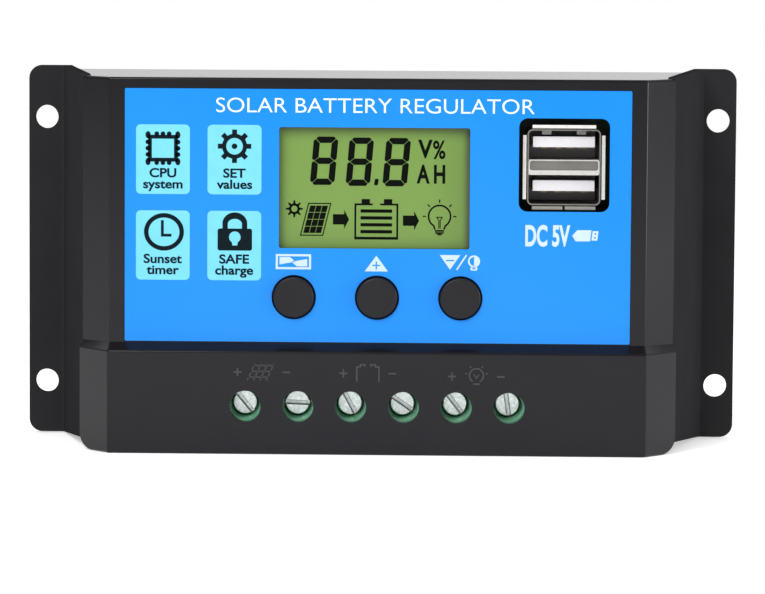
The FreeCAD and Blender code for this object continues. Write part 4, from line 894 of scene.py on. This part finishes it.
# ---------------------------------------------------------------- screws in the back
def make_cover_screws():
    """Four countersunk screws whose cross recesses show in the back of the plate."""
    left, right, bottom, top, front = span("cover_screws")
    back = -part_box("cover_screws")[1].y / MM
    head, shank, recess, clear = 2.8, 1.45, 0.3, 0.05
    tip, point = 0.5, 0.6
    profile = [(head - recess, back + recess), (shank, back + head - shank), (shank, front - point),
               (tip, front)]
    made = bmesh.new()
    for x in (left + head, right - head):
        for z in (bottom + head, top - head):
            slot = cross(x, z, reach=1.45, width=0.6)
            add_shape(made, [ellipse(x, z, head - clear), slot], back, back + recess)
            add_turned(made, x, z, profile)
    screws = finish_mesh("cover_screw_heads", made, "housing", steel_fastener)
    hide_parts("cover_screws")


# ---------------------------------------------------------------- studio
def make_floor():
    """A wide pale floor under the lowest edge; from below it is clear, so that the underside can be seen."""
    radius, glow = 6.0, 0.45
    made = bmesh.new()
    bmesh.ops.create_circle(made, cap_ends=True, segments=96, radius=radius)
    mesh = bpy.data.meshes.new("floor")
    made.to_mesh(mesh)
    made.free()
    floor = bpy.data.objects.new("floor", mesh)
    floor.location.z = cad_low.z
    bpy.context.scene.collection.objects.link(floor)
    material, tree, shader = new_material("pale_floor", Roughness=0.8, Emission_Color=(1, 1, 1, 1),
                                          Emission_Strength=glow)
    patches = noise(tree, 300, 2.0)
    pale = blend_colours(tree, patches, (0.88, 0.88, 0.88), (0.92, 0.92, 0.92))
    tree.links.new(pale, shader.inputs["Base Color"])
    below = add_node(tree, "ShaderNodeNewGeometry").outputs["Backfacing"]
    clear = add_node(tree, "ShaderNodeBsdfTransparent")
    chosen = add_node(tree, "ShaderNodeMixShader", {0: below, 1: shader.outputs[0], 2: clear.outputs[0]})
    tree.links.new(chosen.outputs[0], tree.nodes["Material Output"].inputs["Surface"])
    mesh.materials.append(material)


def make_world():
    """White behind the object; in front the light is weaker, and weaker on the left than on the right."""
    left_light, right_light, back_light = 0.22, 0.62, 1.0
    front_end, back_start = 0.15, 0.65
    world = bpy.data.worlds.new("studio")
    world.use_nodes = True
    bpy.context.scene.world = world
    tree = world.node_tree
    way = add_node(tree, "ShaderNodeTexCoord")
    parts = add_node(tree, "ShaderNodeSeparateXYZ", {"Vector": way.outputs["Generated"]})
    sideways = mapped(tree, parts.outputs["X"], -1.0, 1.0, left_light, right_light)
    level = mapped(tree, parts.outputs["Y"], front_end, back_start, sideways, back_light,
                   interpolation_type="SMOOTHSTEP")
    background = tree.nodes["Background"]
    background.inputs["Color"].default_value = (1, 1, 1, 1)
    tree.links.new(level, background.inputs["Strength"])


def add_lamp(name, place, size, power):
    """A square soft box at a place, in metres, aimed at the middle of the plate's back."""
    light = bpy.data.lights.new(name, "AREA")
    light.size = size
    light.energy = power
    lamp = bpy.data.objects.new(name, light)
    lamp.location = place
    lamp.rotation_mode = "QUATERNION"
    lamp.rotation_quaternion = (-Vector(place)).to_track_quat("-Z", "Y")
    bpy.context.scene.collection.objects.link(lamp)


def make_camera():
    """A long lens a little above the middle and to the right, aimed slightly down and to the left."""
    place = (0.0140, -0.6288, 0.0343)
    yaw, pitch, roll = math.radians(-1.25), math.radians(-3.92), math.radians(0.36)
    forward = Vector((math.sin(yaw) * math.cos(pitch), math.cos(yaw) * math.cos(pitch), math.sin(pitch)))
    right = Vector((math.cos(yaw), -math.sin(yaw), 0))
    up = right.cross(forward)
    rolled_right = right * math.cos(roll) + up * math.sin(roll)
    rolled_up = up * math.cos(roll) - right * math.sin(roll)
    data = bpy.data.cameras.new("camera")
    data.lens = 156.2
    data.sensor_width = 36.0
    camera = bpy.data.objects.new("camera", data)
    turn = Matrix((rolled_right, rolled_up, -forward)).transposed()
    camera.matrix_world = Matrix.Translation(place) @ turn.to_4x4()
    bpy.context.scene.collection.objects.link(camera)
    bpy.context.scene.camera = camera


dress_nodes()
soften_edges("front_cover", 0.18)
soften_edges("heatsink_base", 0.15)
soften_edges("label_film", 0.08)
for number in range(1, POLES + 1):
    soften_edges(f"terminal_screw_{number}", 0.07)

make_badges()
make_label_print()
make_lcd_print()
make_socket_shell()
make_terminal_marks()
make_cover_screws()
make_floor()
make_world()
add_lamp("key", place=(-0.4, -0.85, 0.7), size=0.5, power=9.2)
add_lamp("side", place=(0.9, -0.3, 0.12), size=0.35, power=4.0)
make_camera()
bpy.context.scene.view_settings.view_transform = "Standard"
